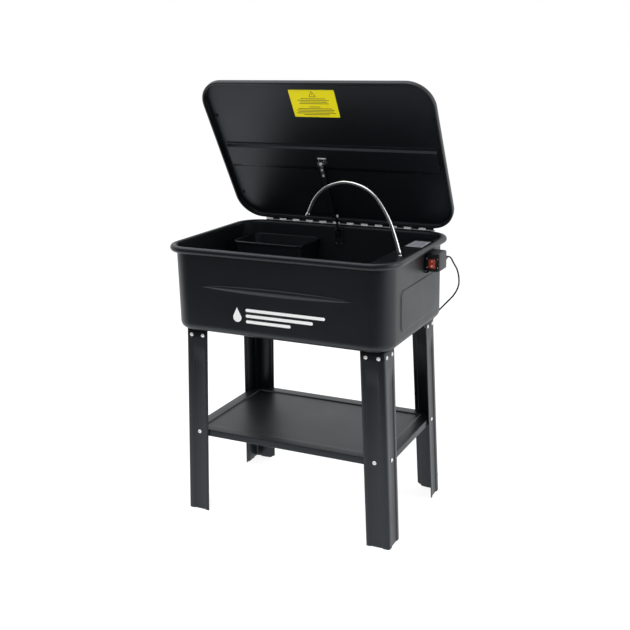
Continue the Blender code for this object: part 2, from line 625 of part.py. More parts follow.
def pump_cover():
    """The folded sheet over the pump: a flat top at the tank's right end and a skirt to its floor."""
    sheet = THIN_SHEET
    right, half_y, radius = WALL_X - COVER_EASE, WALL_Y - COVER_EASE, CORNER_RADIUS - COVER_EASE
    outline = [Vector((COVER_LEFT, -half_y, 0)), Vector((COVER_LEFT, half_y, 0))]
    for centre_y, first in ((half_y - radius, 90), (radius - half_y, 0)):
        for step in range(7):
            angle = math.radians(first - 15 * step)
            x, y = right - radius + radius * math.cos(angle), centre_y + radius * math.sin(angle)
            outline.append(Vector((x, y, 0)))
    rings = [[point + Vector((0, 0, z)) for point in outline] for z in (COVER_TOP - sheet, COVER_TOP)]
    cover = add_mesh("pump_cover", loft(rings), "black_powder_coat")
    low = (COVER_LEFT, -SKIRT_HALF, TANK_FLOOR + GAP)
    skirt = box("pump_cover_skirt", low, (COVER_LEFT + sheet, SKIRT_HALF, COVER_TOP - sheet / 2))
    boolean(cover, skirt, "UNION")
    ends = [(SPOUT_X, SPOUT_Y, COVER_TOP + side * 0.01) for side in (-1, 1)]
    boolean(cover, cylinder("spout_hole", 0.0060, *ends), "DIFFERENCE")
    intake = bmesh.new()
    for y in (-0.15, -0.05, 0.05, 0.15):
        add_box(intake, (COVER_LEFT - 0.01, y - 0.025, 0.680), (COVER_LEFT + 0.01, y + 0.025, 0.692))
    boolean(cover, add_mesh("pump_cover_intakes", intake), "DIFFERENCE")


def pump():
    top = 0.742
    body = box("pump", (0.290, -0.125, TANK_FLOOR + GAP), (0.352, -0.015, top), "black_plastic")
    bevel(body, 0.006)
    hose_x = SPOUT_X - 0.0190
    route = [Vector((hose_x, SPOUT_Y, top + GAP)), Vector((hose_x, SPOUT_Y, 0.80)),
             Vector((SPOUT_X, SPOUT_Y, 0.85)), Vector((SPOUT_X, SPOUT_Y, 0.8940))]
    tube("pump_hose", smooth_route(route, 0.012), 0.0065, "clear_hose")


def spout_fitting():
    """The threaded fitting in the pump cover, ending in the ball that the gooseneck turns on."""
    ball = 0.006
    neck = [(0.0, 0.8943), (0.0055, 0.8943), (0.0055, COVER_TOP + GAP), (0.0105, COVER_TOP + GAP),
            (0.0105, 0.9092), (0.0042, 0.9102)]
    arc = [math.radians(-42 + 22 * step) for step in range(6)]
    head = [(ball * math.cos(a), SPOUT_PIVOT_Z + ball * math.sin(a)) for a in arc]
    top = [(0.0, SPOUT_PIVOT_Z + ball)]
    turned("spout_fitting", neck + head + top, (SPOUT_X, SPOUT_Y, 0), (0, 0, 1), "chrome", 16)


def gooseneck(axis):
    route = []
    for left, up in SPOUT_ROUTE:
        route.append(Vector((-left * math.cos(SPOUT_TURN), left * math.sin(SPOUT_TURN), up)))
    points = smooth_route(route, 0.012)
    neck = tube("gooseneck", points, SPOUT_RADIUS, "chrome")
    neck.parent = axis
    direction = (points[-1] - points[-2]).normalized()
    profile = ((0.0030, GAP), (0.0064, GAP), (0.0064, 0.0120), (0.0054, 0.0140), (0.0030, 0.0140))
    nozzle = turned("spout_nozzle", profile, points[-1], direction, "chrome", closed=True)
    nozzle.parent = axis


def smooth_route(points, spacing):
    """Points every spacing or so along a Catmull-Rom curve through the given ones."""
    ends = [2 * points[0] - points[1]] + list(points) + [2 * points[-1] - points[-2]]
    found = [points[0]]
    for before, first, second, after in zip(ends, ends[1:], ends[2:], ends[3:]):
        count = max(1, round((second - first).length / spacing))
        for step in range(1, count + 1):
            t = step / count
            found.append(0.5 * (2 * first + (second - before) * t
                                + (2 * before - 5 * first + 4 * second - after) * t ** 2
                                + (3 * first - before - 3 * second + after) * t ** 3))
    return found


def tube(name, points, radius, look):
    curve = bpy.data.curves.new(name, "CURVE")
    curve.dimensions = "3D"
    curve.bevel_depth = radius
    curve.bevel_resolution = 2
    curve.use_fill_caps = True
    spline = curve.splines.new("POLY")
    spline.points.add(len(points) - 1)
    for point, place in zip(spline.points, points):
        point.co = (*place, 1.0)
    curve.materials.append(material(look))
    obj = bpy.data.objects.new(name, curve)
    PARTS.objects.link(obj)
    return obj


def switch_box(axis):
    shell = box("switch_box", BOX_LOW, BOX_HIGH, "black_plastic")
    bevel(shell, 0.005, 3)
    x, z = ROCKER_CENTRE
    half_x, half_z = ROCKER_SIZE[0] / 2, ROCKER_SIZE[1] / 2
    pocket = box("rocker_pocket", (x - half_x - 0.0004, BOX_LOW[1] - 0.01, z - half_z - 0.0010),
                 (x + half_x + 0.0004, BOX_LOW[1] + 0.0130, z + half_z + 0.0010))
    boolean(shell, pocket, "DIFFERENCE")
    face, back = -0.0068, 0.0035  # from the rocker's axis, towards the front and into the box
    outline = [(-half_z, face + 0.0030), (-half_z + 0.0008, face), (0.0, face + 0.0022),
               (half_z - 0.0008, face), (half_z, face + 0.0030),
               (half_z - 0.0012, back), (-half_z + 0.0012, back)]
    rings = [[Vector((side, y, up)) for up, y in outline] for side in (-half_x, half_x)]
    button = add_mesh("rocker", loft(rings), "red_plastic")
    button.parent = axis


def cord_gland():
    profile = ((0.0, 0.0), (0.0080, 0.0), (0.0080, 0.0030), (0.0060, 0.0045), (0.0045, GLAND_LENGTH),
               (0.0, GLAND_LENGTH))
    turned("cord_gland", profile, GLAND, (0, 1, 0), "black_rubber")


def cord():
    route = smooth_route([Vector(point) for point in CORD_ROUTE], 0.0155)
    tube("cord", route, CORD_RADIUS, "black_rubber")
    inner, outer, low, high = COIL_RADIUS - COIL_HALF, COIL_RADIUS + COIL_HALF, GAP, GAP + 2 * COIL_HALF
    ease = 0.0015
    profile = (
        (inner + ease, low), (outer - ease, low), (outer, low + ease), (outer, high - ease),
        (outer - ease, high), (inner + ease, high), (inner, high - ease), (inner, low + ease),
    )
    turned("cord_coil", profile, (*COIL_CENTRE, 0), (0, 0, 1), "black_rubber", steps=24, closed=True)


def plug():
    """A straight round mains plug lying behind the coil, its nose just over the coil's edge."""
    profile = ((0.0, 0.0), (0.0058, 0.0), (0.0064, 0.0120), (0.0130, 0.0180), (PLUG_RADIUS, 0.0270),
               (PLUG_RADIUS, 0.0480), (0.0150, PLUG_LENGTH), (0.0, PLUG_LENGTH))
    body = turned("plug", profile, PLUG_NOSE, PLUG_DIRECTION, "black_rubber", steps=20)
    across = PLUG_DIRECTION.cross(Vector((0, 0, 1)))
    pins = bmesh.new()
    for side in (-1, 1):
        root = PLUG_NOSE + across * (side * 0.0095)
        ends = [root + PLUG_DIRECTION * (PLUG_LENGTH + along) for along in (-0.005, 0.019)]
        add_cylinder(pins, 0.0024, *ends, 10)
    boolean(body, add_mesh("plug_pins", pins), "UNION")


clear_scene()
PARTS = collection("Parts washer tank", hidden=False)
CUTTERS = collection("Cutters", hidden=True)

lid_axis = axis_empty("lid_axis", (0.0, HINGE_Y, HINGE_Z), (-LID_ANGLE, 0.0, 0.0))
upper_axis = axis_empty("stay_upper_axis", (STAY_X, *lid_pivot_open()))
lower_axis = axis_empty("stay_lower_axis", (LOWER_ARM_X, *TANK_PIVOT))
tray_axis = axis_empty("tray_axis", (*TRAY_CENTRE, TRAY_TOP))
spout_axis = axis_empty("spout_axis", (SPOUT_X, SPOUT_Y, SPOUT_PIVOT_Z))
rocker_place = (ROCKER_CENTRE[0], ROCKER_AXIS_Y, ROCKER_CENTRE[1])
rocker_axis = axis_empty("rocker_axis", rocker_place, (-ROCKER_TILT, 0.0, 0.0))

tank()
drain_plug()
legs_and_shelf()
lid(lid_axis)
lid_stiffener(lid_axis)
piano_hinge(lid_axis)
stay_lid_bracket(lid_axis)
stay_upper(upper_axis)
stay_lower(lower_axis)
stay_tank_bracket()
parts_tray(tray_axis)
work_shelf()
pump_cover()
pump()
spout_fitting()
gooseneck(spout_axis)
switch_box(rocker_axis)
cord_gland()
cord()
plug()
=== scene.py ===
import math

import bmesh
import bpy
from mathutils import Matrix, Vector


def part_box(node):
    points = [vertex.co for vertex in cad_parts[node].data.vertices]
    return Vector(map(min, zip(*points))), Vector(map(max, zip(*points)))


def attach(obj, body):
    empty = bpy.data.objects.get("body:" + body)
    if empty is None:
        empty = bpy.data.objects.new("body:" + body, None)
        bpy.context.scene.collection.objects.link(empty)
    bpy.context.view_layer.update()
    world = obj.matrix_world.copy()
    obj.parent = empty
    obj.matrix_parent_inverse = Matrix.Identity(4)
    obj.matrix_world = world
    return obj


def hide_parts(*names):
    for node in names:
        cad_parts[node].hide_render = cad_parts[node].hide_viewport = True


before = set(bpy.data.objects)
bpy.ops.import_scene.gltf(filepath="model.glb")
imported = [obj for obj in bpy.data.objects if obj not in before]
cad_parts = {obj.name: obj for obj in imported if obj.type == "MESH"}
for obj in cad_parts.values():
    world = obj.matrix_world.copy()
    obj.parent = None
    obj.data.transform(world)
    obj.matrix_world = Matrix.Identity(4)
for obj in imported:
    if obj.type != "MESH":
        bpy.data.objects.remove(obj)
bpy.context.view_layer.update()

# Sizes shared with the frame, in metres
RIM_LOW, RIM_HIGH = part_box("tank")
BEAD_RADIUS, TANK_SHEET, BEND_RADIUS = 0.011, 0.0012, 0.0225
WALL_X, WALL_Y = RIM_HIGH.x - 2 * BEAD_RADIUS, RIM_HIGH.y - 2 * BEAD_RADIUS  # inner faces of the walls
CORNER_RADIUS = 0.068
DRAIN_RADIUS = 0.0113
LEG_FACE, LEG_SHEET, LEG_RECESS, LEG_BEND = 0.080, 0.0015, 0.003, 0.008
SPLAY_X, SPLAY_Y = 0.0377, 0.0219
TOP_BOLT_Z, TOP_BOLT_PLACES = 0.629, (0.0195, 0.0620)  # places are measured from the leg's bend
SHELF_BOLT_Z, SHELF_BOLT_PLACE = 0.288, 0.0445
SWAGE_X, SWAGE_Z, SWAGE_HALF_X, SWAGE_HALF_Z, SWAGE_RISE = 0.0035, 0.8075, 0.261, 0.0125, 0.0045
PANEL_Z, PANEL_HALF_Y, PANEL_HALF_Z, PANEL_RADIUS, PANEL_RISE = 0.7615, 0.158, 0.066, 0.022, 0.0024
HINGE_X, HINGE_Y, HINGE_Z = 0.008, 0.2695, 0.9381
HINGE_HALF, KNUCKLES = 0.322, 24  # half the hinge's length, and the knuckles of both leaves
LID_ANGLE = math.radians(61)
LID_HALF_X, LID_FRONT, LID_BACK = 0.4115, -0.2890, 0.2649
LID_LIP, LID_TOP, LID_CORNER = 0.9350, 0.9570, 0.088
STAY_X, LOWER_ARM_X = -0.025, -0.0145
LID_PIVOT, ELBOW = (-0.255, -0.006), (0.233, 0.968)
ROCKER = Vector((0.4040, 0.0525, 0.8710))
SPOUT_BASE = Vector((0.3454, -0.0793, 0.9175))
SPOUT_TURN, SPOUT_RADIUS = math.radians(10), 0.0055
SPOUT_ROUTE = (  # distance left of the base, height above its pivot
    (0.0022, 0.0066), (0.0156, 0.0490), (0.0405, 0.1082), (0.0809, 0.1660), (0.1172, 0.1938),
    (0.1599, 0.2076), (0.2030, 0.2108), (0.2431, 0.2024), (0.2822, 0.1849), (0.3196, 0.1503),
    (0.3450, 0.1040),
)
CORD_RADIUS = 0.00275
CORD_EXIT = (0.4200, 0.1452, 0.8760)
CORD_ROUTE = (
    CORD_EXIT, (0.4200, 0.1530, 0.8760), (0.4205, 0.1830, 0.8660), (0.4210, 0.2160, 0.8400),
    (0.4205, 0.2570, 0.8080), (0.4190, 0.2820, 0.7720), (0.4130, 0.2930, 0.7400),
    (0.3960, 0.2960, 0.7080), (0.3680, 0.2930, 0.6760), (0.3360, 0.2840, 0.6360),
    (0.3120, 0.2750, 0.5800), (0.3030, 0.2710, 0.5000), (0.3050, 0.2700, 0.4000),
    (0.3090, 0.2700, 0.3000), (0.3140, 0.2700, 0.2000), (0.3190, 0.2700, 0.1000),
    (0.3220, 0.2715, 0.0450), (0.3262, 0.2790, 0.0160), (0.3325, 0.2985, 0.0044),
    (0.3357, 0.3200, 0.0031), (0.3357, 0.3295, 0.0031),
)
COIL_CENTRE = Vector((0.300, 0.335, 0.0))
COIL_RADIUS, COIL_START = 0.0275, 0.0362  # mean radius of the turns, and the radius where the cord joins them
COIL_END, PLUG_BEND = 1141.06, 42.21  # degrees that the coil winds to, and of the bend to the plug
PLUG_NOSE, PLUG_DIRECTION = Vector((0.3002, 0.3719, 0.0175)), Vector((-0.323, 0.946, 0.0)).normalized()


# --- Materials ---

def dial(node, values):
    """Sets a node's inputs by name."""
    for name, value in values.items():
        node.inputs[name].default_value = value


def surface(name, colours, roughness, metallic=0.0, grain=(900.0, 0.00003), mottle=6.0, stretch=(1, 1, 1),
            tint=(1.0, 1.0, 1.0), shine=0.5):
    """A procedural finish: mottled colour and roughness, and a fine grain in relief.

    grain is (grains to the metre, their depth in metres), and mottle the patches to the metre.
    """
    made = bpy.data.materials.new(name)
    made.use_nodes = True
    nodes, links = made.node_tree.nodes, made.node_tree.links
    shader = nodes["Principled BSDF"]
    dial(shader, {"Metallic": metallic, "Specular Tint": (*tint, 1.0), "Specular IOR Level": shine})
    place = nodes.new("ShaderNodeTexCoord")
    scaled = nodes.new("ShaderNodeMapping")
    dial(scaled, {"Scale": stretch})
    links.new(place.outputs["Object"], scaled.inputs["Vector"])

    patches = nodes.new("ShaderNodeTexNoise")
    dial(patches, {"Scale": mottle, "Detail": 6.0})
    links.new(scaled.outputs["Vector"], patches.inputs["Vector"])
    blend = nodes.new("ShaderNodeMix")
    blend.data_type = "RGBA"
    dial(blend, {"A": (*colours[0], 1.0), "B": (*colours[1], 1.0)})
    links.new(patches.outputs["Fac"], blend.inputs["Factor"])
    links.new(blend.outputs["Result"], shader.inputs["Base Color"])
    spread = nodes.new("ShaderNodeMapRange")
    dial(spread, {"From Min": 0.3, "From Max": 0.7, "To Min": roughness[0], "To Max": roughness[1]})
    links.new(patches.outputs["Fac"], spread.inputs["Value"])
    links.new(spread.outputs["Result"], shader.inputs["Roughness"])

    grains = nodes.new("ShaderNodeTexNoise")
    dial(grains, {"Scale": grain[0], "Detail": 2.0})
    links.new(scaled.outputs["Vector"], grains.inputs["Vector"])
    bump = nodes.new("ShaderNodeBump")
    dial(bump, {"Distance": grain[1]})
    links.new(grains.outputs["Fac"], bump.inputs["Height"])
    links.new(bump.outputs["Normal"], shader.inputs["Normal"])
    return made


COAT = surface("black_powder_coat", ((0.0036, 0.0045, 0.0055), (0.0048, 0.0058, 0.0070)), (0.36, 0.44),
               grain=(620.0, 0.00006), tint=(0.84, 0.91, 1.0))
COAT_LEG = surface("leg_powder_coat", ((0.0045, 0.0054, 0.0066), (0.0062, 0.0072, 0.0086)), (0.35, 0.43),
                   grain=(700.0, 0.00006), stretch=(1, 1, 0.6), tint=(0.84, 0.91, 1.0))
GLOSS_COAT = surface("gloss_powder_coat", ((0.0040, 0.0048, 0.0058), (0.0060, 0.0070, 0.0082)), (0.18, 0.26),
                     grain=(700.0, 0.00003), mottle=30.0)
ZINC = surface("zinc_plate", ((0.62, 0.63, 0.65), (0.80, 0.80, 0.79)), (0.20, 0.36), 1.0, (1500.0, 0.00002),
               90.0)
CHROME = surface("chrome_plate", ((0.80, 0.81, 0.82), (0.88, 0.88, 0.88)), (0.10, 0.18), 1.0,
                 (400.0, 0.000004), 30.0)
SATIN_CHROME = surface("satin_chrome", ((0.82, 0.83, 0.84), (0.90, 0.90, 0.90)), (0.20, 0.28), 1.0,
                       (400.0, 0.000004), 30.0)
PLASTIC = surface("black_plastic", ((0.014, 0.015, 0.018), (0.020, 0.021, 0.025)), (0.42, 0.52),
                  grain=(2600.0, 0.00004))
RED = surface("red_plastic", ((0.27, 0.030, 0.018), (0.34, 0.044, 0.026)), (0.22, 0.30),
              grain=(500.0, 0.000004))
RUBBER = surface("black_rubber", ((0.005, 0.005, 0.006), (0.010, 0.010, 0.011)), (0.55, 0.68),
                 grain=(1800.0, 0.00003), mottle=40.0, shine=0.3)
HOSE = surface("milky_hose", ((0.42, 0.43, 0.40), (0.50, 0.51, 0.47)), (0.30, 0.40), grain=(300.0, 0.00001))
YELLOW = surface("yellow_vinyl", ((0.98, 0.84, 0.008), (1.0, 0.88, 0.014)), (0.42, 0.52),
                 grain=(900.0, 0.00001), shine=0.25)
INK = surface("label_ink", ((0.10, 0.09, 0.02), (0.14, 0.12, 0.03)), (0.40, 0.50), grain=(900.0, 0.00001))
SILVER = surface("silver_foil", ((0.50, 0.50, 0.56), (0.62, 0.62, 0.67)), (0.30, 0.42),
                 grain=(900.0, 0.00001))
GREY_INK = surface("grey_ink", ((0.16, 0.16, 0.19), (0.20, 0.20, 0.23)), (0.40, 0.50), grain=(900.0, 0.00001))
WHITE_INK = surface("white_print", ((0.78, 0.79, 0.79), (0.86, 0.87, 0.87)), (0.42, 0.52),
                    grain=(900.0, 0.00001))
BRIGHT_ZINC = surface("bright_zinc", ((0.90, 0.91, 0.92), (0.97, 0.97, 0.96)), (0.26, 0.38), 0.5,
                      (1500.0, 0.00002), 60.0)
ROLLED_ZINC = surface("rolled_zinc", ((0.80, 0.81, 0.82), (0.90, 0.90, 0.90)), (0.16, 0.26), 1.0,
                      (1500.0, 0.00002), 60.0)
STAMPED_STEEL = surface("stamped_steel", ((0.45, 0.46, 0.48), (0.70, 0.70, 0.70)), (0.16, 0.30), 1.0,
                        (420.0, 0.0012), 80.0)
DARK_STEEL = surface("dark_steel", ((0.10, 0.10, 0.11), (0.16, 0.16, 0.17)), (0.30, 0.42), 1.0,
                     (1200.0, 0.00003))
# A darker, glossier black for the switch box's front face: painted shade on the front, which faces away from
# the lamps
PAINTED_SHADE_PLASTIC = surface("painted_shade_plastic", ((0.0050, 0.0052, 0.0060), (0.0080, 0.0082, 0.0092)), (0.30, 0.40),
                       grain=(2600.0, 0.00003))


# --- Mesh helpers ---

def mesh_of(name, bm, material, sharp=None, turn=None):
    """A mesh from bm, which is used up; smooth except over sharp degrees where sharp is given."""
    mesh = bpy.data.meshes.new(name)
    bm.to_mesh(mesh)
    bm.free()
    if turn:
        mesh.transform(turn)
    if sharp:
        mesh.shade_smooth()
        mesh.set_sharp_from_angle(angle=math.radians(sharp))
    mesh.materials.append(material)
    return mesh


def placed(name, data):
    """A new object in the scene, showing data."""
    obj = bpy.data.objects.new(name, data)
    bpy.context.scene.collection.objects.link(obj)
    return obj


def piece(name, bm, material, body, replaces=(), sharp=35, turn=None, up=None, facing=None):
    """A finished piece: smooth except over sharp degrees, riding on a body, standing for CAD nodes.

    An open sheet is faced by up, the number of a face whose normal points up, or by facing, a direction.
    """
    bmesh.ops.recalc_face_normals(bm, faces=bm.faces)
    bm.faces.ensure_lookup_table()
    if up is not None and bm.faces[up].normal.z < 0:
        bmesh.ops.reverse_faces(bm, faces=bm.faces)
    if facing and sum((face.normal * face.calc_area() for face in bm.faces), Vector()).dot(facing) < 0:
        bmesh.ops.reverse_faces(bm, faces=bm.faces)
    bmesh.ops.remove_doubles(bm, verts=bm.verts, dist=1e-6)
    obj = placed(name, mesh_of(name, bm, material, sharp, turn))
    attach(obj, body)
    if replaces:
        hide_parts(*replaces)
    return obj


def skin(bm, rows, closed=True, caps=()):
    """Faces between rows of matching points, and over the rows in caps, 0 for the first and -1 the last."""
    made = [[bm.verts.new(point) for point in row] for row in rows]
    for lower, upper in zip(made, made[1:]):
        for corner in range(0 if closed else 1, len(lower)):
            bm.faces.new((lower[corner - 1], lower[corner], upper[corner], upper[corner - 1]))
    for cap in caps:
        bm.faces.new(made[cap])
    return bm


def thicken(obj, thickness):
    """Gives a sheet its thickness, on the side that its normals point away from."""
    solid = obj.modifiers.new("Sheet", "SOLIDIFY")
    solid.thickness = thickness
    solid.offset = -1.0
    solid.use_even_offset = True


def bevel(obj, width, segments=2):
    edges = obj.modifiers.new("Edges", "BEVEL")
    edges.width = width
    edges.segments = segments
    edges.angle_limit = math.radians(40)
    edges.harden_normals = True


def soften(node, material, width=0.0004):
    """A CAD node that is shown as it is, with small round edges and a finish."""
    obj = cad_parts[node]
    obj.data.materials.clear()
    obj.data.materials.append(material)
    obj.data.shade_smooth()
    obj.data.set_sharp_from_angle(angle=math.radians(30))
    if width:
        bevel(obj, width)


def outline(half_x, half_y, radius, corner=10, lines_x=(), lines_y=()):
    """(point, outward normal) round a rounded rectangle, with extra points at given x or y on its sides."""
    path = []
    for quarter, (side_x, side_y) in enumerate(((1, 1), (-1, 1), (-1, -1), (1, -1))):
        centre = Vector((side_x * (half_x - radius), side_y * (half_y - radius)))
        for step in range(corner + 1):
            angle = math.radians(90 * (quarter + step / corner))
            normal = Vector((math.cos(angle), math.sin(angle)))
            path.append((centre + normal * radius, normal))
        if quarter % 2 == 0:
            places = sorted(lines_x, reverse=quarter == 0)
            path += [(Vector((x, side_y * half_y)), Vector((0, side_y))) for x in places]
        else:
            places = sorted(lines_y, reverse=quarter == 1)
            path += [(Vector((side_x * half_x, y)), Vector((side_x, 0))) for y in places]
    return path


def spaced(low, high, step):
    count = max(1, round((high - low) / step))
    return [low + (high - low) * number / count for number in range(count + 1)]


def shrunk(row, centre, z, shares):
    """Copies of a row drawn in towards a centre at height z, to cover a flat panel."""
    return [[Vector((centre.x + (p.x - centre.x) * share, centre.y + (p.y - centre.y) * share, z))
             for p in row] for share in shares]


def smooth(value):
    value = min(max(value, 0.0), 1.0)
    return value * value * (3 - 2 * value)


def arc(centre, radius, first, last, steps):
    """Points (u, v) on an arc from one angle to another, in degrees."""
    angles = [math.radians(first + (last - first) * step / steps) for step in range(steps + 1)]
    return [(centre[0] + radius * math.cos(a), centre[1] + radius * math.sin(a)) for a in angles]


def turned(profile, place, direction, steps=24):
    """Turns (radius, height) about an axis."""
    frame_turn = Vector(direction).to_track_quat("Z", "Y").to_matrix().to_4x4()
    matrix = Matrix.Translation(place) @ frame_turn
    rows = []
    for radius, height in profile:
        ring = [(max(radius, 1e-5) * math.cos(a), max(radius, 1e-5) * math.sin(a), height)
                for a in (math.tau * step / steps for step in range(steps))]
        rows.append([matrix @ Vector(point) for point in ring])
    return rows


def add_box(bm, low, high):
    low, high = Vector(low), Vector(high)
    size = Matrix.Diagonal((*(high - low), 1.0))
    bmesh.ops.create_cube(bm, size=1.0, matrix=Matrix.Translation((low + high) / 2) @ size)


def route(points, spacing):
    """Points every spacing or so along a Catmull-Rom curve through the given ones."""
    ends = [2 * points[0] - points[1]] + list(points) + [2 * points[-1] - points[-2]]
    found = [points[0]]
    for before, first, second, after in zip(ends, ends[1:], ends[2:], ends[3:]):
        count = max(1, round((second - first).length / spacing))
        for step in range(1, count + 1):
            t = step / count
            found.append(0.5 * (2 * first + (second - before) * t
                                + (2 * before - 5 * first + 4 * second - after) * t ** 2
                                + (3 * first - before - 3 * second + after) * t ** 3))
    return found


def tube_rows(points, radius_at, sides=20):
    """Rings round a path; radius_at takes the distance from its start."""
    rows, travelled = [], 0.0
    across = None
    for number, point in enumerate(points):
        ahead = points[min(number + 1, len(points) - 1)] - points[max(number - 1, 0)]
        ahead.normalize()
        if across is None:
            across = ahead.orthogonal().normalized()
        across = (across - ahead * across.dot(ahead)).normalized()
        beside = ahead.cross(across)
        if number:
            travelled += (point - points[number - 1]).length
        radius = radius_at(travelled)
        rows.append([point + (across * math.cos(a) + beside * math.sin(a)) * radius
                     for a in (math.tau * step / sides for step in range(sides))])
    return rows


# --- Camera and cord ---

def camera():
    made = placed("camera", bpy.data.cameras.new("camera"))
    made.data.lens = 53.17
    made.data.shift_x, made.data.shift_y = -0.0527, 0.0121
    yaw, pitch, roll = 0.4315, 0.2852, -0.0111
    turn = Matrix.Rotation(yaw, 4, "Z") @ Matrix.Rotation(math.pi / 2 - pitch, 4, "X")
    made.matrix_world = Matrix.Translation((1.362, -2.670, 1.523)) @ turn @ Matrix.Rotation(roll, 4, "Z")
    bpy.context.scene.camera = made


def coil_points():
    """Three turns, two side by side and one on top; their end rises and bends back over them to the plug."""
    low = CORD_RADIUS + 0.0003
    outer, inner, high = COIL_RADIUS + CORD_RADIUS, COIL_RADIUS - CORD_RADIUS, low + 2 * CORD_RADIUS
    # (angle where a change starts, degrees it takes, radius and height after it)
    changes = ((-8, 50, outer, low), (280, 120, inner, low), (600, 120, inner, high))
    points = []
    for angle in spaced(-8, COIL_END, 15):
        radius, height = COIL_START, low
        for start, span, new_radius, new_height in changes:
            share = smooth((angle - start) / span)
            radius += (new_radius - radius) * share
            height += (new_height - height) * share
        height += (PLUG_NOSE.z - height) * smooth((angle - 950) / 150)
        turn = math.radians(angle)
        points.append(COIL_CENTRE + Vector((radius * math.cos(turn), radius * math.sin(turn), height)))
    last, bend = math.radians(COIL_END), 0.024
    middle = COIL_CENTRE + Vector((math.cos(last), math.sin(last), 0)) * (inner + bend)
    for step in range(1, 5):
        turn = last + math.pi - math.radians(PLUG_BEND) * step / 4
        points.append(middle + Vector((bend * math.cos(turn), bend * math.sin(turn), PLUG_NOSE.z)))
    return points


def plug():
    """A round moulded plug with finger ribs, and its two pins."""
    profile = [(0.0, 0.0), (0.0054, 0.0), (0.0058, 0.0005)]
    for number in range(3):
        along = 0.0016 + 0.0034 * number
        profile += [(0.0058, along), (0.0050, along + 0.0005), (0.0050, along + 0.0013),
                    (0.0060, along + 0.0018)]
    profile += [(0.0064, 0.0120), (0.0100, 0.0145), (0.0130, 0.0180), (0.0158, 0.0225), (0.0170, 0.0262),
                (0.0172, 0.0280)]
    for number in range(4):
        along = 0.0300 + 0.0040 * number
        profile += [(0.0172, along), (0.0164, along + 0.0006), (0.0164, along + 0.0018),
                    (0.0172, along + 0.0024)]
    profile += [(0.0172, 0.0478), (0.0166, 0.0492), (0.0150, 0.0500), (0.0, 0.0500)]
    bm = bmesh.new()
    skin(bm, turned(profile, PLUG_NOSE, PLUG_DIRECTION, 40), caps=(0, -1))
    body = piece("mains_plug", bm, RUBBER, "frame", ["plug"])
    pins = bmesh.new()
    across = PLUG_DIRECTION.cross(Vector((0, 0, 1)))
    for side in (-1, 1):
        skin(pins, turned([(0.0024, 0.0), (0.0024, 0.0172), (0.0018, 0.0185), (0.0008, 0.0190),
                           (0.0, 0.0190)],
                          PLUG_NOSE + across * (side * 0.0095) + PLUG_DIRECTION * 0.0500, PLUG_DIRECTION, 18),
             caps=(0, -1))
    return [body, piece("plug_pins", pins, CHROME, "frame")]


def tie():
    """A strap round the coil's turns."""
    turn = math.radians(205)
    out = Vector((math.cos(turn), math.sin(turn), 0))
    middle = COIL_CENTRE + out * COIL_RADIUS + Vector((0, 0, 0.0059))
    rows = []
    for along in (-0.0045, -0.0042, 0.0042, 0.0045):
        half = 0.0060 if abs(along) > 0.0043 else 0.0063
        ring = outline(half, min(half, 0.0059), 0.0030, 6)
        rows.append([middle + out * place.x + Vector((0, 0, place.y)) + Vector((-out.y, out.x, 0)) * along
                     for place, normal in ring])
    return piece("coil_tie", skin(bmesh.new(), rows), PLASTIC, "frame")


def cord():
    hanging = route([Vector(point) for point in CORD_ROUTE], 0.012)
    points = hanging[:-1] + coil_points() + [PLUG_NOSE - PLUG_DIRECTION * 0.0003]
    curve = bpy.data.curves.new("mains_cord", "CURVE")
    curve.dimensions = "3D"
    curve.bevel_depth = CORD_RADIUS
    curve.bevel_resolution = 4
    curve.use_fill_caps = True
    spline = curve.splines.new("POLY")
    spline.points.add(len(points) - 1)
    for control, place in zip(spline.points, points):
        control.co = (*place, 1.0)
    curve.materials.append(RUBBER)
    obj = placed("mains_cord", curve)
    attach(obj, "frame")
    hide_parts("cord", "cord_coil")
    plug()
    tie()


# --- Tank ---

def swage_rise(x, z):
    """How far the long ridge across the front stands out of the wall."""
    along = (x - SWAGE_X) / SWAGE_HALF_X
    if abs(along) >= 1:
        return 0.0
    height = (z - SWAGE_Z) / (SWAGE_HALF_Z * (1 - along * along) ** 0.75 + 1e-5)
    steep_top, long_foot = smooth((1 - height) / 0.45), smooth((1 + height) / 1.2)
    return SWAGE_RISE * (1 - along * along) ** 0.5 * steep_top * long_foot


def panel_rise(y, z):
    """How far the raised panel stands out of an end wall."""
    over_y = abs(y) - (PANEL_HALF_Y - PANEL_RADIUS)
    over_z = abs(z - PANEL_Z) - (PANEL_HALF_Z - PANEL_RADIUS)
    distance = math.hypot(max(over_y, 0), max(over_z, 0)) + min(max(over_y, over_z), 0) - PANEL_RADIUS
    return PANEL_RISE * smooth(-distance / 0.0035)


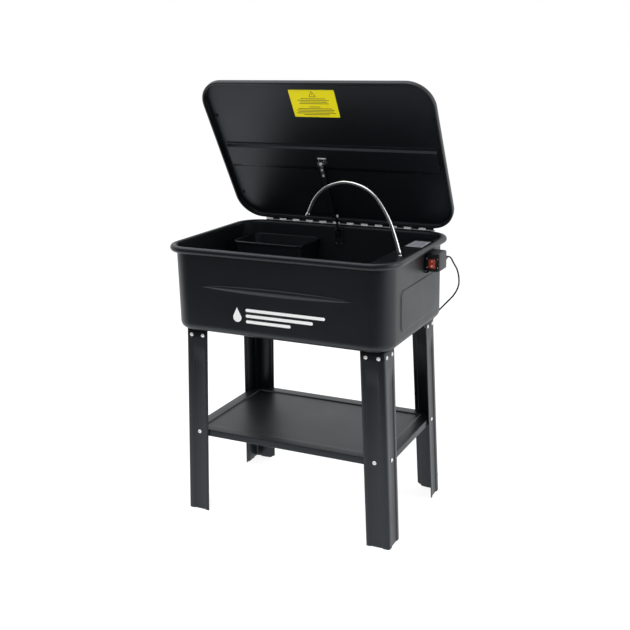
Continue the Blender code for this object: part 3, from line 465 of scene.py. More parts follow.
def tank():
    side_lines = spaced(-0.162, -0.130, 0.0025) + spaced(-0.115, 0.115, 0.02) + spaced(0.130, 0.162, 0.0025)
    path = outline(WALL_X, WALL_Y, CORNER_RADIUS, 12, spaced(-0.28, 0.285, 0.0075), side_lines)
    floor = RIM_LOW.z + TANK_SHEET
    rows = []
    for share in (0.0, 0.15, 0.4, 0.7):
        row = []
        for place, normal in path:
            wall = place - normal * BEND_RADIUS
            row.append(Vector((*(wall.normalized() * DRAIN_RADIUS).lerp(wall, share), floor)))
        rows.append(row)
    profile = [(u - BEND_RADIUS, floor + BEND_RADIUS + v)
               for u, v in arc((0, 0), BEND_RADIUS, -90, 0, 8)]
    heights = (spaced(floor + BEND_RADIUS, 0.695, 0.006)[1:] + spaced(0.6955, 0.7005, 0.00125)
               + spaced(0.706, 0.785, 0.008) + spaced(0.7925, 0.832, 0.0009) + spaced(0.845, 0.905, 0.02))
    profile += [(0.0, z) for z in heights]
    profile += [(BEAD_RADIUS + u, RIM_HIGH.z - BEAD_RADIUS + v)
                for u, v in arc((0, 0), BEAD_RADIUS, 180, -120, 26)]
    for out, z in profile:
        row = []
        for place, normal in path:
            rise = 0.0
            if abs(normal.y) > 0.999 and normal.y < 0 and out == 0.0:
                rise = swage_rise(place.x, z)
            elif abs(normal.x) > 0.999 and out == 0.0:
                rise = panel_rise(place.y, z)
            spot = place + normal * (out + rise)
            row.append(Vector((spot.x, spot.y, z)))
        rows.append(row)
    tub = piece("tub", skin(bmesh.new(), rows), COAT, "frame", ["tank"], 50, up=0)
    thicken(tub, TANK_SHEET)

    ledges = bmesh.new()
    for x in (-0.25, 0.15):
        for side in (-1, 1):
            for low, high in (((x - 0.015, 0.2440, 0.7855), (x + 0.015, 0.2557, 0.7869)),
                              ((x - 0.015, 0.2543, 0.7720), (x + 0.015, 0.2557, 0.7857))):
                add_box(ledges, (low[0], min(side * low[1], side * high[1]), low[2]),
                        (high[0], max(side * low[1], side * high[1]), high[2]))
    bevel(piece("shelf_ledges", ledges, COAT, "frame"), 0.0004)


# --- Legs, lower shelf and bolts ---

FOOT_X, FOOT_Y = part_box("leg_back_right")[1].x, 0.2352
LEG_TOP, PANEL_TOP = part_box("leg_back_right")[1].z, 0.530


def leg_place(side_x, side_y, along_x, along_y, z):
    x = FOOT_X - SPLAY_X * z - along_x
    y = FOOT_Y - SPLAY_Y * z - along_y
    return Vector((side_x * x, side_y * y, z))


def leg_section(recess):
    """The leg's outer face as (along, depth) from one edge round the bend to the other."""
    edge = [(LEG_FACE, 0.0), (0.0735, 0.0)]
    edge += [(0.0675 - 0.0045 * step / 6, recess * smooth(step / 6)) for step in range(7)]
    edge += [(0.0440, recess)]
    edge += [(0.0255 - 0.0045 * step / 6, recess * smooth(1 - step / 6)) for step in range(7)]
    edge += [(0.0145, 0.0)]
    bend = [(LEG_BEND + u, LEG_BEND + v) for u, v in arc((0, 0), LEG_BEND, 270, 180, 8)]
    return edge + bend + [(depth, along) for along, depth in reversed(edge)]


def leg(side_x, side_y, node):
    rows = []
    heights = [0.0001, 0.004, 0.008, 0.012] + spaced(0.05, PANEL_TOP, 0.10)
    heights += spaced(PANEL_TOP, 0.600, 0.005)[1:] + [0.62, LEG_TOP]
    for z in heights:
        fade = smooth((0.600 - z) / (0.600 - PANEL_TOP))
        row = []
        for along, depth in leg_section(LEG_RECESS * fade):
            low = max(0.0, 0.011 * (along - (LEG_FACE - 0.020)) / 0.020) if side_y > 0 else 0.0
            row.append(leg_place(side_x, side_y, along, depth, max(z, low)))
        rows.append(row)
    post = piece(f"{node}_post", skin(bmesh.new(), rows, closed=False), COAT_LEG, "frame",
                 [node], 50, facing=(side_x, side_y, 0))
    thicken(post, LEG_SHEET)


def bolt_mesh(grip):
    """A truss-head M6 bolt with its socket, washer and hexagon nut, its head up +Z."""
    bm = bmesh.new()
    head = [(0.0021, 0.0016), (0.0021, 0.0034)] + arc((0.0, -0.0017), 0.0056, 66, 22, 6) + [(0.0055, 0.0003)]
    skin(bm, turned([(0.0, 0.0016)] + head, (0, 0, 0), (0, 0, 1), 24), caps=(0,))
    skin(bm, turned([(0.0030, 0.0003), (0.0064, 0.0003), (0.0066, 0.0006), (0.0064, 0.0009),
                     (0.0054, 0.0009)],
                    (0, 0, 0), (0, 0, 1), 24))
    skin(bm, turned([(0.0, -grip - 0.0055), (0.0026, -grip - 0.0055), (0.0030, -grip - 0.0051),
                     (0.0030, 0.0005)], (0, 0, 0), (0, 0, 1), 16), caps=(0,))
    nut = [(0.0030, -grip), (0.0052, -grip), (0.0058, -grip - 0.0004), (0.0058, -grip - 0.0044),
           (0.0050, -grip - 0.0049), (0.0030, -grip - 0.0049)]
    skin(bm, turned(nut, (0, 0, 0), (0, 0, 1), 6))
    bmesh.ops.remove_doubles(bm, verts=bm.verts, dist=1e-6)
    bmesh.ops.recalc_face_normals(bm, faces=bm.faces)
    return mesh_of("m6_bolt", bm, BRIGHT_ZINC, 35)


def bolts():
    through_top, through_shelf = bolt_mesh(0.0049), bolt_mesh(0.0040)
    for end_name, side_y in (("front", -1), ("back", 1)):
        for side_name, side_x in (("left", -1), ("right", 1)):
            wide = Vector((0.0, side_y, SPLAY_Y)).normalized()
            end = Vector((side_x, 0.0, SPLAY_X)).normalized()
            spots = []
            for number, along in enumerate(TOP_BOLT_PLACES):
                spots.append((f"face_{number}", (along, 0.0, TOP_BOLT_Z), wide, through_top))
                spots.append((f"side_{number}", (0.0, along, TOP_BOLT_Z), end, through_top))
            spots.append(("shelf_face", (SHELF_BOLT_PLACE, LEG_RECESS, SHELF_BOLT_Z), wide, through_shelf))
            spots.append(("shelf_side", (LEG_RECESS, SHELF_BOLT_PLACE, SHELF_BOLT_Z), end, through_shelf))
            for turn, (name, spot, direction, mesh) in enumerate(spots):
                node = f"bolt_{end_name}_{side_name}_{name}"
                obj = placed(f"m6_{node}", mesh)
                facing = direction.to_track_quat("Z", "Y").to_matrix().to_4x4()
                obj.matrix_world = (Matrix.Translation(leg_place(side_x, side_y, *spot)) @ facing
                                    @ Matrix.Rotation(0.4 + 0.55 * turn, 4, "Z"))
                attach(obj, "frame")
                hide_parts(node)


def lower_shelf():
    low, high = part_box("lower_shelf")
    half_x, half_y, top = high.x, high.y, high.z
    profile = [(0.0018, low.z), (0.0, low.z + 0.0012), (0.0, top - 0.0025)]
    profile += [(0.0025 + u, top - 0.0025 + v) for u, v in arc((0, 0), 0.0025, 180, 90, 5)][1:]
    profile += [(0.034, top)]
    profile += [(0.036 + 0.0055 * step / 8, top - 0.004 * smooth(step / 8)) for step in range(9)]
    profile += [(0.050, top - 0.004)]
    rows = []
    for inset, z in profile:
        ring = outline(half_x - inset, half_y - inset, max(0.010 - inset, 0.004), 6,
                       spaced(-0.27, 0.27, 0.09))
        rows.append([Vector((*place, z)) for place, normal in ring])
    rows += shrunk(rows[-1], Vector((0, 0)), top - 0.004, (0.8, 0.5, 0.2))
    shelf = piece("bottom_shelf", skin(bmesh.new(), rows, caps=(-1,)), COAT, "frame",
                  ["lower_shelf"], 50, up=-1)
    thicken(shelf, 0.001)


# --- Lid ---

LID_TURN = (Matrix.Translation((0, HINGE_Y, HINGE_Z)) @ Matrix.Rotation(-LID_ANGLE, 4, "X")
            @ Matrix.Translation((0, -HINGE_Y, -HINGE_Z)))


def lid():
    half = Vector((LID_HALF_X, (LID_BACK - LID_FRONT) / 2))
    centre = Vector((0.0, (LID_BACK + LID_FRONT) / 2))
    bend = 0.008
    profile = [(0.030, LID_TOP), (0.010, LID_TOP)]
    profile += [(bend - bend * math.sin(a), LID_TOP - bend + bend * math.cos(a))
                for a in (math.radians(90 * step / 8) for step in range(9))]
    profile += [(0.0, LID_LIP + 0.0060)]
    profile += [(0.0030 + u, LID_LIP + 0.0030 + v) for u, v in arc((0, 0), 0.0030, 180, 270, 6)]
    profile += [(0.0062, LID_LIP), (0.0074, LID_LIP + 0.0007), (0.0080, LID_LIP + 0.0020)]
    rows = []
    for inset, z in profile:
        ring = outline(half.x - inset, half.y - inset, max(LID_CORNER - inset, 0.010), 14,
                       spaced(-0.30, 0.30, 0.10), spaced(-0.15, 0.15, 0.10))
        rows.append([Vector((*(place + centre), z)) for place, normal in ring])
    rows = shrunk(rows[0], centre, LID_TOP, (0.2, 0.5, 0.8)) + rows
    shell = piece("lid_shell", skin(bmesh.new(), rows, caps=(0,)), COAT, "lid", ["lid"], 50,
                  up=0, turn=LID_TURN)
    thicken(shell, 0.001)


def lid_stiffener():
    """A shallow hat section, open at both ends, welded across the lid's inside; and the rubber bumpers."""
    sheet_face = LID_TOP - 0.0010 - 0.0003
    near, far = HINGE_Y - 0.225, HINGE_Y - 0.305
    depth = sheet_face - 0.947
    flank = ((-0.0006, 0.0), (0.0, 0.0), (0.0004, 0.03), (0.0009, 0.10), (0.0013, 0.17), (0.0050, 0.85),
             (0.0054, 0.92), (0.0059, 0.98), (0.0065, 1.0), (0.0071, 1.0))
    section = [(far - 0.011, 0.0)] + [(far - 0.0010 + y, share) for y, share in flank]
    section += [(near + 0.0010 - y, share) for y, share in reversed(flank)] + [(near + 0.011, 0.0)]
    rows = [[Vector((x, y, sheet_face - depth * share)) for y, share in section]
            for x in [-0.385] + spaced(-0.384, 0.384, 0.05) + [0.385]]
    strip = piece("lid_channel", skin(bmesh.new(), rows, closed=False), COAT, "lid",
                  ["lid_stiffener"], 50, facing=(0, 0, -1), turn=LID_TURN)
    thicken(strip, 0.0009)
    dimples = bmesh.new()
    for number in range(14):
        x = -0.363 + 0.0558 * number
        for y in (far - 0.0065, near + 0.0065):
            skin(dimples, turned([(0.0030, 0.0), (0.0026, 0.00025), (0.0014, 0.0001), (0.0, 0.00005)],
                                 (x, y, sheet_face - 0.0009), (0, 0, -1), 14), caps=(-1,))
    piece("spot_welds", dimples, COAT_LEG, "lid", turn=LID_TURN)
    bumpers = bmesh.new()
    for v in (0.10, 0.25, 0.42):
        for side in (-1, 1):
            skin(bumpers, turned([(0.0062, 0.0), (0.0062, 0.0022), (0.0050, 0.0036), (0.0026, 0.0040),
                                  (0.0024, 0.0028), (0.0, 0.0028)],
                                 (side * 0.388, HINGE_Y - v, LID_TOP - 0.0012), (0, 0, -1), 18), caps=(-1,))
    piece("lid_bumpers", bumpers, RUBBER, "lid", turn=LID_TURN)


def hinge_leaf(name, node, first, plate, pads, material, body, turn=None):
    """A flat leaf and, every second one from the first, its rolled knuckles."""
    flat = bmesh.new()
    add_box(flat, *plate)
    bevel(piece(f"{name}_plate", flat, COAT, body, [node], turn=turn), 0.00025)
    rolls = bmesh.new()
    pitch = 2 * HINGE_HALF / KNUCKLES
    for number in range(first, KNUCKLES, 2):
        left = HINGE_X - HINGE_HALF + number * pitch + 0.0003
        right = left + pitch - 0.0006
        ring = [(0.0021, 0.0), (0.0027, 0.0), (0.0031, 0.0005), (0.0031, pitch - 0.0011),
                (0.0027, pitch - 0.0006), (0.0021, pitch - 0.0006), (0.0021, 0.0)]
        skin(rolls, turned(ring, (left, HINGE_Y, HINGE_Z), (1, 0, 0), 20))
        add_box(rolls, (left + 0.0004, *pads[0]), (right - 0.0004, *pads[1]))
    bevel(piece(f"{name}_knuckles", rolls, material, body, turn=turn), 0.00025)


def hinge():
    left, right, length = HINGE_X - HINGE_HALF, HINGE_X + HINGE_HALF, 2 * HINGE_HALF
    under = HINGE_Z - 0.0040
    hinge_leaf("tank_hinge", "hinge_leaf_tank", 0,
               ((left, 0.2655, 0.9323), (right + 0.004, 0.2765, under - 0.0003)),
               ((0.2668, under - 0.0008), (0.2722, under + 0.0010)), BRIGHT_ZINC, "frame")
    hinge_leaf("lid_hinge", "hinge_leaf_lid", 1,
               ((left, LID_BACK + 0.0003, 0.9426), (right, LID_BACK + 0.0017, 0.9556)),
               ((LID_BACK + 0.0003, 0.9385), (LID_BACK + 0.0026, 0.9430)), COAT, "lid", LID_TURN)
    pin = bmesh.new()
    skin(pin, turned([(0.0, -0.0010), (0.0022, -0.0010), (0.0026, -0.0006), (0.0024, -0.0001), (0.00175, 0.0),
                      (0.00175, length), (0.0024, length + 0.0001), (0.0026, length + 0.0006),
                      (0.0022, length + 0.0010), (0.0, length + 0.0010)],
                     (left, HINGE_Y, HINGE_Z), (1, 0, 0), 20), caps=(0, -1))
    piece("peened_hinge_pin", pin, ZINC, "frame", ["hinge_pin"])
    rivets = bmesh.new()
    for number in range(8):
        x = left + 0.030 + number * (right - left - 0.060) / 7
        skin(rivets, turned([(0.0034, 0.0), (0.0031, 0.0008), (0.0020, 0.0014), (0.0, 0.0016)],
                            (x, LID_BACK + 0.0017, 0.9491), (0, 1, 0), 16), caps=(-1,))
    piece("hinge_rivets", rivets, ZINC, "lid", turn=LID_TURN)


# --- Stay ---

def stay():
    soften("stay_link", STAMPED_STEEL, 0.0003)
    soften("stay_lid_bracket", ROLLED_ZINC, 0.0004)
    for node in ("stay_upper_arm", "stay_lower_arm", "stay_tank_bracket"):
        soften(node, GLOSS_COAT, 0.0004)
    near, under = HINGE_Y + LID_PIVOT[0], HINGE_Z + LID_PIVOT[1]
    plate = LID_TOP - 0.0103
    # The bracket's top lip is a real flange; its whiter bright zinc, unlike the bracket's rolled zinc, is a
    # painted highlight along the upper edge
    highlight_lip = bmesh.new()
    add_box(highlight_lip, (STAY_X - 0.0155, near - 0.0150, plate - 0.0048),
            (STAY_X + 0.0155, near - 0.0112, plate - 0.0022))
    bevel(piece("bracket_lip_painted_highlight", highlight_lip, BRIGHT_ZINC, "lid", turn=LID_TURN), 0.0008, 3)
    start = LID_TURN @ Vector((STAY_X, near, under))
    along = (Vector((STAY_X, *ELBOW)) - start).normalized()
    out = Vector((0.0, along.z, -along.y))
    rivets = bmesh.new()
    for distance, radius in ((0.0, 0.0050), (0.0220, 0.0034), (0.0440, 0.0034)):
        skin(rivets, turned([(radius, 0.0), (0.9 * radius, 0.0009), (0.5 * radius, 0.0015), (0.0, 0.0016)],
                            start + along * distance + out * 0.0056, out, 18), caps=(-1,))
    piece("link_rivets", rivets, BRIGHT_ZINC, "stay_upper")
    x = LOWER_ARM_X
    bolt = bmesh.new()
    skin(bolt, turned([(0.0, -0.0019), (0.0030, -0.0019), (0.0030, 0.0018), (0.0054, 0.0018),
                       (0.0056, 0.0021), (0.0056, 0.0038), (0.0048, 0.0049), (0.0036, 0.0055),
                       (0.0022, 0.0058), (0.0020, 0.0046), (0.0, 0.0046)], (x, *ELBOW), (1, 0, 0), 24),
         caps=(0, -1))
    piece("elbow_bolt", bolt, BRIGHT_ZINC, "stay_lower", ["stay_elbow_bolt"])
    heads = bmesh.new()
    for side in (-1, 1):
        for z in (0.8650, 0.9165):
            skin(heads, turned([(0.0042, 0.0), (0.0042, 0.0009), (0.0034, 0.0022), (0.0020, 0.0029),
                                (0.0018, 0.0016), (0.0, 0.0016)],
                               (x + side * 0.0115, 0.2532, z), (0, -1, 0), 18), caps=(-1,))
    piece("bracket_screws", heads, DARK_STEEL, "frame")


# --- Inside the tank ---

def tray():
    low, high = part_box("parts_tray")
    centre, half = (low + high) / 2, (high - low) / 2
    bottom, top = low.z, high.z
    profile = [(0.0240, bottom), (0.0215, bottom)]
    profile += [(0.0215 - u, bottom + 0.0070 + v) for u, v in arc((0, 0), 0.0070, 270, 345, 8)][1:]
    profile += [(0.0092, top - 0.030), (0.0062, top - 0.0050)]
    profile += [(0.0032 - u, top - 0.0030 + v) for u, v in arc((0, 0), 0.0030, 200, 0, 12)]
    profile = [(max(inset, 0.0), z) for inset, z in profile] + [(0.0, top - 0.0062)]
    rows = []
    for inset, z in profile:
        ring = outline(half.x - inset, half.y - inset, max(0.028 - inset, 0.006), 9,
                       spaced(-0.09, 0.09, 0.06))
        rows.append([Vector((centre.x + place.x, centre.y + place.y, z)) for place, normal in ring])
    rows = shrunk(rows[0], centre, bottom, (0.2, 0.6)) + rows
    pan = piece("rinse_tray", skin(bmesh.new(), rows, caps=(0,)), COAT, "tray",
                ["parts_tray"], 50, up=0)
    thicken(pan, 0.0009)


def pump_and_cover():
    soften("work_shelf", COAT, 0.0002)
    soften("pump_cover", COAT, 0.0003)
    soften("pump", PLASTIC, 0)
    soften("pump_hose", HOSE, 0)
    soften("drain_plug", ZINC, 0)
    for end in ("front", "back"):
        for side in ("left", "right"):
            soften(f"leg_bracket_{end}_{side}", COAT, 0.0003)


def gooseneck():
    flat = [Vector((-left * math.cos(SPOUT_TURN), left * math.sin(SPOUT_TURN), up)) + SPOUT_BASE
            for left, up in SPOUT_ROUTE]
    points = route(flat, 0.00044)
    pitch = 0.0022

    def ribs(distance):
        return SPOUT_RADIUS - 0.00007 + 0.00007 * math.cos(math.tau * distance / pitch)

    neck = bmesh.new()
    skin(neck, tube_rows(points, ribs, 18), caps=(0, -1))
    piece("flexible_spout", neck, SATIN_CHROME, "spout", ["gooseneck"], 60)
    direction = (points[-1] - points[-8]).normalized()
    nozzle = bmesh.new()
    skin(nozzle, turned([(0.0032, 0.0003), (0.0058, 0.0003), (0.0064, 0.0008), (0.0064, 0.0028),
                         (0.0061, 0.0032), (0.0064, 0.0036), (0.0064, 0.0112), (0.0060, 0.0124),
                         (0.0054, 0.0139), (0.0050, 0.0140), (0.0032, 0.0140), (0.0032, 0.0003)], points[-1],
                        direction, 28))
    piece("spout_ferrule", nozzle, CHROME, "spout", ["spout_nozzle"])
    sleeve = bmesh.new()
    start = (points[8] - points[0]).normalized()
    skin(sleeve, turned([(0.0056, 0.0002), (0.0063, 0.0004), (0.0065, 0.0010), (0.0065, 0.0120),
                         (0.0062, 0.0132), (0.0056, 0.0134)], points[0], start, 28))
    piece("spout_sleeve", sleeve, CHROME, "spout")

    ball, low = 0.006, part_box("spout_fitting")[0].z
    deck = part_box("pump_cover")[1].z
    fitting = bmesh.new()
    profile = [(0.0, low), (0.0055, low), (0.0055, deck + 0.0003), (0.0102, deck + 0.0003),
               (0.0105, deck + 0.0008), (0.0105, deck + 0.0014), (0.0088, deck + 0.0017),
               (0.0066, deck + 0.0034), (0.0046, deck + 0.0050)]
    profile += [(ball * math.cos(a), SPOUT_BASE.z + ball * math.sin(a))
                for a in (math.radians(-42 + 11 * step) for step in range(12))]
    place = (SPOUT_BASE.x, SPOUT_BASE.y, 0)
    skin(fitting, turned(profile + [(0.0, SPOUT_BASE.z + ball)], place, (0, 0, 1), 32), caps=(0, -1))
    piece("spout_ball", fitting, CHROME, "frame", ["spout_fitting"])
    nut = bmesh.new()
    skin(nut, turned([(0.0056, deck + 0.0018), (0.0096, deck + 0.0018), (0.0102, deck + 0.0022),
                      (0.0102, deck + 0.0054), (0.0094, deck + 0.0060), (0.0056, deck + 0.0060)], place,
                     (0, 0, 1), 6))
    bevel(piece("spout_nut", nut, PLASTIC, "frame"), 0.0003)


# --- Switch box, plug ---

def ring_xz(centre, half_x, half_z, radius, y, corner=6):
    return [Vector((centre[0] + place.x, y, centre[1] + place.y))
            for place, normal in outline(half_x, half_z, radius, corner)]


def switch():
    low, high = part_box("switch_box")
    centre = ((low.x + high.x) / 2, (low.z + high.z) / 2)
    half_x, half_z = (high.x - low.x) / 2, (high.z - low.z) / 2
    pocket = ((ROCKER.x, ROCKER.z), 0.0112, 0.0153)
    front, seam = low.y, low.y + 0.0125
    rows = []
    for inset, y in ((0.0, 0.0130), (0.0, 0.0008), (0.0, 0.0006), (0.0006, 0.0), (0.0020, 0.0),
                     (0.0026, 0.0006), (0.0026, 0.0010)):
        rows.append(ring_xz(pocket[0], pocket[1] + inset, pocket[2] + inset, 0.0015 + inset, front + y))
    for inset, radius, y in ((0.0052, 0.0030, 0.0010), (0.0030, 0.0044, 0.0012), (0.0014, 0.0054, 0.0022),
                             (0.0004, 0.0062, 0.0040), (0.0, 0.0065, 0.0062)):
        rows.append(ring_xz(centre, half_x - inset, half_z - inset, radius, front + y))
    for inset, y in ((0.0, seam - 0.0006), (0.0007, seam - 0.0002), (0.0007, seam + 0.0002),
                     (0.0, seam + 0.0006), (0.0, high.y - 0.0050), (0.0006, high.y - 0.0022),
                     (0.0020, high.y - 0.0006), (0.0042, high.y)):
        rows.append(ring_xz(centre, half_x - inset, half_z - inset, 0.0065 - inset * 0.6, y))
    housing = piece("switch_housing", skin(bmesh.new(), rows, caps=(0, -1)), PLASTIC, "frame",
                    ["switch_box"], 40)
    # Faces at the very front take the darker black: painted shade on the front face and its rounded edge
    housing.data.materials.append(PAINTED_SHADE_PLASTIC)
    for face in housing.data.polygons:
        face.material_index = int(face.center.y < front + 0.0050)
    screws = bmesh.new()
    for x, z in ((0.3862, 0.8880), (0.3862, 0.8600), (0.4218, 0.8880), (0.4218, 0.8600)):
        skin(screws, turned([(0.0021, 0.0), (0.0021, 0.0004), (0.0014, 0.0009), (0.0007, 0.0010),
                             (0.0006, 0.0005), (0.0, 0.0005)], (x, front + 0.0012, z), (0, -1, 0), 16),
             caps=(-1,))
    piece("switch_screws", screws, ZINC, "frame")
    tab = bmesh.new()
    add_box(tab, (0.3800, 0.0480, 0.8405), (0.3812, 0.0700, 0.8470))
    add_box(tab, (0.3800, 0.0480, 0.8405), (0.3900, 0.0700, 0.8416))
    bevel(piece("switch_bracket", tab, DARK_STEEL, "frame"), 0.0003)

    turn = Matrix.Translation(ROCKER) @ Matrix.Rotation(math.radians(-6), 4, "X")
    half_wide, half_high, face, back = 0.0108, 0.0143, -0.0068, 0.0035
    section = [(-half_high, face + 0.0034), (-half_high + 0.0003, face + 0.0014),
               (-half_high + 0.0016, face + 0.0003)]
    section += [(-half_high + 0.0016 + (half_high - 0.0016) * step / 6,
                 face + 0.0003 + 0.0022 * smooth(step / 6)) for step in range(1, 7)]
    section += [(up * -1, y) for up, y in reversed(section[:-1])]
    section += [(half_high - 0.0012, back), (-half_high + 0.0012, back)]
    rows = []
    for inset, x in ((0.0010, -half_wide), (0.0003, -half_wide + 0.0003), (0.0, -half_wide + 0.0010),
                     (0.0, half_wide - 0.0010), (0.0003, half_wide - 0.0003), (0.0010, half_wide)):
        rows.append([Vector((x, min(y + inset, back), up * (1 - inset / half_high))) for up, y in section])
    piece("rocker_button", skin(bmesh.new(), rows, caps=(0, -1)), RED, "switch_rocker",
          ["rocker"], 50, turn=turn)
    marks = bmesh.new()
    add_box(marks, (-0.0006, face + 0.0004, 0.0055), (0.0006, face + 0.0012, 0.0105))
    ring = [(0.0018, 0.0), (0.0027, 0.0), (0.0027, 0.0006), (0.0018, 0.0006), (0.0018, 0.0)]
    skin(marks, turned(ring, (0.0, face + 0.0011, -0.0078), (0, -1, 0), 24))
    piece("rocker_marks", marks, WHITE_INK, "switch_rocker", turn=turn)

    gland = bmesh.new()
    profile = [(0.0, 0.0), (0.0076, 0.0), (0.0080, 0.0005), (0.0080, 0.0028), (0.0074, 0.0034)]
    for number in range(6):
        along, radius = 0.0042 + 0.0031 * number, 0.0063 - 0.00022 * number
        profile += [(radius, along), (radius, along + 0.0017), (radius - 0.0009, along + 0.0020),
                    (radius - 0.0009, along + 0.0028)]
    profile += [(0.0046, 0.0232), (0.0042, 0.0240), (0.0030, 0.0240)]
    skin(gland, turned(profile, (0.4200, high.y + 0.0003, 0.8760), (0, 1, 0), 24), caps=(0, -1))
    piece("strain_relief", gland, RUBBER, "frame", ["cord_gland"])


# --- Generic marks ---

def slab(bm, points, thickness, turn):
    """A thin flat shape given by its outline (u, v), laid on the plane that turn makes of u, v, 0."""
    rows = [[turn @ Vector((u, v, w)) for u, v in points] for w in (0.0, thickness)]
    skin(bm, rows, caps=(0, -1))


def rectangle(left, bottom, right, top, radius=0.0):
    if not radius:
        return [(left, bottom), (right, bottom), (right, top), (left, top)]
    middle, half = ((left + right) / 2, (bottom + top) / 2), ((right - left) / 2, (top - bottom) / 2)
    return [(middle[0] + place.x, middle[1] + place.y) for place, normal in outline(*half, radius, 4)]


def bars(bm, left, top, widths, pitch, height, thickness, turn):
    """Rows of plain bars where a label would carry writing."""
    for number, width in enumerate(widths):
        high = top - number * pitch
        slab(bm, rectangle(left, high - height, left + width, high, height * 0.3), thickness, turn)


def lid_label():
    """A blank yellow label on the lid's inside, with a border, a triangle outline and plain bars."""
    inner = LID_TOP - 0.0010
    # u to the right, v up the open lid, w out of its inner face
    turn = LID_TURN @ Matrix(((1, 0, 0, -0.0050), (0, -1, 0, HINGE_Y - 0.4715), (0, 0, -1, inner - 0.00005),
                              (0, 0, 0, 1)))
    ground = bmesh.new()
    slab(ground, rectangle(-0.0810, -0.0500, 0.0810, 0.0500, 0.003), 0.00018, turn)
    piece("lid_label", ground, YELLOW, "lid")
    ink = bmesh.new()
    lift = turn @ Matrix.Translation((0, 0, 0.00018))
    corners = [Vector(corner) for corner in ((-0.0115, 0.0250), (0.0115, 0.0250), (0.0, 0.0445))]
    for start, end in zip(corners, corners[1:] + corners[:1]):
        side = (end - start).normalized().orthogonal() * 0.0010
        slab(ink, [start - side, end - side, end + side, start + side], 0.00006, lift)
    slab(ink, rectangle(-0.0010, 0.0300, 0.0010, 0.0370, 0.0009), 0.00006, lift)
    rows_of_bars = ((0.0190, 0.088), (0.0130, 0.112), (0.0070, 0.096), (0.0010, 0.104), (-0.0110, 0.040),
                    (-0.0175, 0.120), (-0.0230, 0.136), (-0.0285, 0.128), (-0.0340, 0.140), (-0.0395, 0.092))
    for high, width in rows_of_bars:
        slab(ink, rectangle(-width / 2, high - 0.0022, width / 2, high, 0.0010), 0.00006, lift)
    piece("label_ink", ink, INK, "lid")


def rating_plate():
    """A blank silver plate with plain bars, lying on the pump cover."""
    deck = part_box("pump_cover")[1].z
    turn = Matrix(((0, -1, 0, 0.3125), (1, 0, 0, 0.1715), (0, 0, 1, deck + 0.00005), (0, 0, 0, 1)))
    ground = bmesh.new()
    slab(ground, rectangle(-0.0465, -0.0285, 0.0465, 0.0285, 0.002), 0.0002, turn)
    piece("rating_plate", ground, SILVER, "frame")
    ink = bmesh.new()
    lift = turn @ Matrix.Translation((0, 0, 0.0002))
    bars(ink, -0.0410, 0.0230, (0.040, 0.082, 0.082, 0.060, 0.082, 0.082, 0.050), 0.0068, 0.0030, 0.00006,
         lift)
    piece("plate_ink", ink, GREY_INK, "frame")


def front_mark():
    """A plain drop and stripes in white on the front wall."""
    wall = -(WALL_Y + TANK_SHEET)
    turn = Matrix(((1, 0, 0, 0.0), (0, 0, -1, wall - 0.00005), (0, 1, 0, 0.0), (0, 0, 0, 1)))
    print_bm = bmesh.new()
    drop = [(-0.1330 + 0.0150 * math.cos(a), 0.7185 + 0.0150 * math.sin(a))
            for a in (math.radians(-210 + 240 * step / 20) for step in range(21))]
    slab(print_bm, drop + [(-0.1330, 0.7510)], 0.00008, turn)
    for left, right, bottom, top in ((-0.1020, 0.1740, 0.7400, 0.7500), (-0.1020, 0.1330, 0.7215, 0.7315),
                                     (-0.1020, 0.0560, 0.7030, 0.7130)):
        slab(print_bm, rectangle(left, bottom, right, top, 0.0045), 0.00008, turn)
    piece("front_mark", print_bm, WHITE_INK, "frame")


# --- Floor and light ---

def staged(name, bm, base, glow):
    """A plain pale surface that is no part of the object."""
    pale = bpy.data.materials.new(f"pale_{name}")
    pale.use_nodes = True
    dial(pale.node_tree.nodes["Principled BSDF"], {
        "Base Color": (base, base, base, 1), "Roughness": 0.9, "Specular IOR Level": 0.0,
        "Emission Color": (1, 1, 1, 1), "Emission Strength": glow})
    obj = placed(name, mesh_of(name, bm, pale))
    return obj


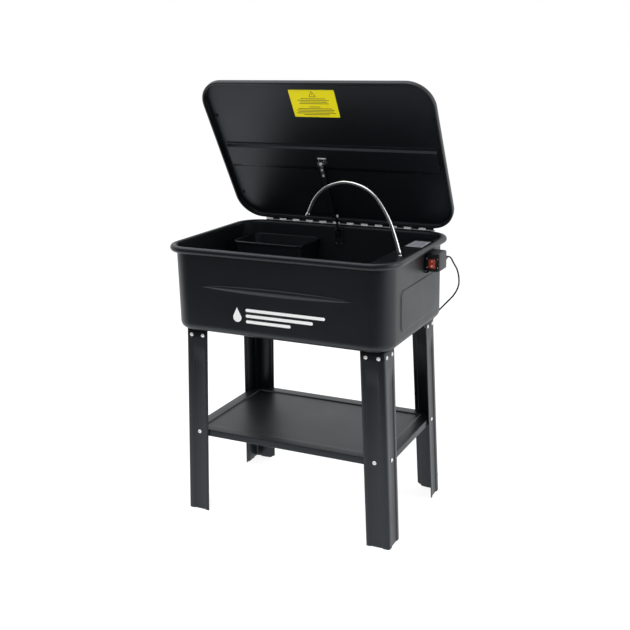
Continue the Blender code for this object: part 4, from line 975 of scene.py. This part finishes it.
def studio():
    staged("floor", skin(bmesh.new(), [[(-9, y, 0), (9, y, 0)] for y in (-1.35, -0.8, 0.0, 6.0)],
                         closed=False),
           0.30, 0.86)
    # The backdrop is only seen: it neither lights the object nor shows in its coat
    edge = arc((0, 0), 12, 150, 390, 20)
    wall = skin(bmesh.new(), [[(x, y, z) for x, y in edge] for z in (-3.0, 16.0)], closed=False)
    skin(wall, [[(-12, y, 0), (12, y, 0)] for y in (-12.0, -1.35)], closed=False)
    backdrop = staged("backdrop", wall, 0.0, 1.0)
    backdrop.visible_diffuse = backdrop.visible_glossy = backdrop.visible_transmission = False
    backdrop.visible_shadow = False

    world = bpy.data.worlds.new("studio")
    bpy.context.scene.world = world
    world.use_nodes = True
    nodes, links = world.node_tree.nodes, world.node_tree.links
    place = nodes.new("ShaderNodeTexCoord")
    split = nodes.new("ShaderNodeSeparateXYZ")
    links.new(place.outputs["Generated"], split.inputs["Vector"])
    across = nodes.new("ShaderNodeMapRange")
    dial(across, {"From Min": -0.35, "From Max": 0.25, "To Min": 0.07, "To Max": 1.0})
    links.new(split.outputs["Y"], across.inputs["Value"])
    sky = nodes["Background"]
    dial(sky, {"Color": (1, 1, 1, 1)})
    links.new(across.outputs["Result"], sky.inputs["Strength"])

    for name, place, aim, size, power, shown in (
            ("overhead", (-1.2, -0.7, 3.4), (-1.2, -0.7, 0.6), (3.8, 3.0), 60, True),
            ("fill", (0.8, -3.4, 2.6), (0, 0, 0.8), (2.4, 2.4), 110, False),
            ("side", (3.4, 0.6, 1.8), (0.2, 0, 0.7), (2.0, 2.0), 30, True)):
        light = bpy.data.lights.new(name, "AREA")
        light.shape = "RECTANGLE"
        light.size, light.size_y = size
        light.energy = power
        obj = placed(name, light)
        obj.location = place
        obj.visible_glossy = shown
        obj.rotation_euler = (Vector(aim) - Vector(place)).to_track_quat("-Z", "Y").to_euler()
    bpy.context.scene.view_settings.view_transform = "Standard"


camera()
cord()
tank()
for end_name, end_side in (("front", -1), ("back", 1)):
    leg(-1, end_side, f"leg_{end_name}_left")
    leg(1, end_side, f"leg_{end_name}_right")
bolts()
lower_shelf()
lid()
lid_stiffener()
hinge()
stay()
tray()
pump_and_cover()
gooseneck()
switch()
lid_label()
rating_plate()
front_mark()
studio()
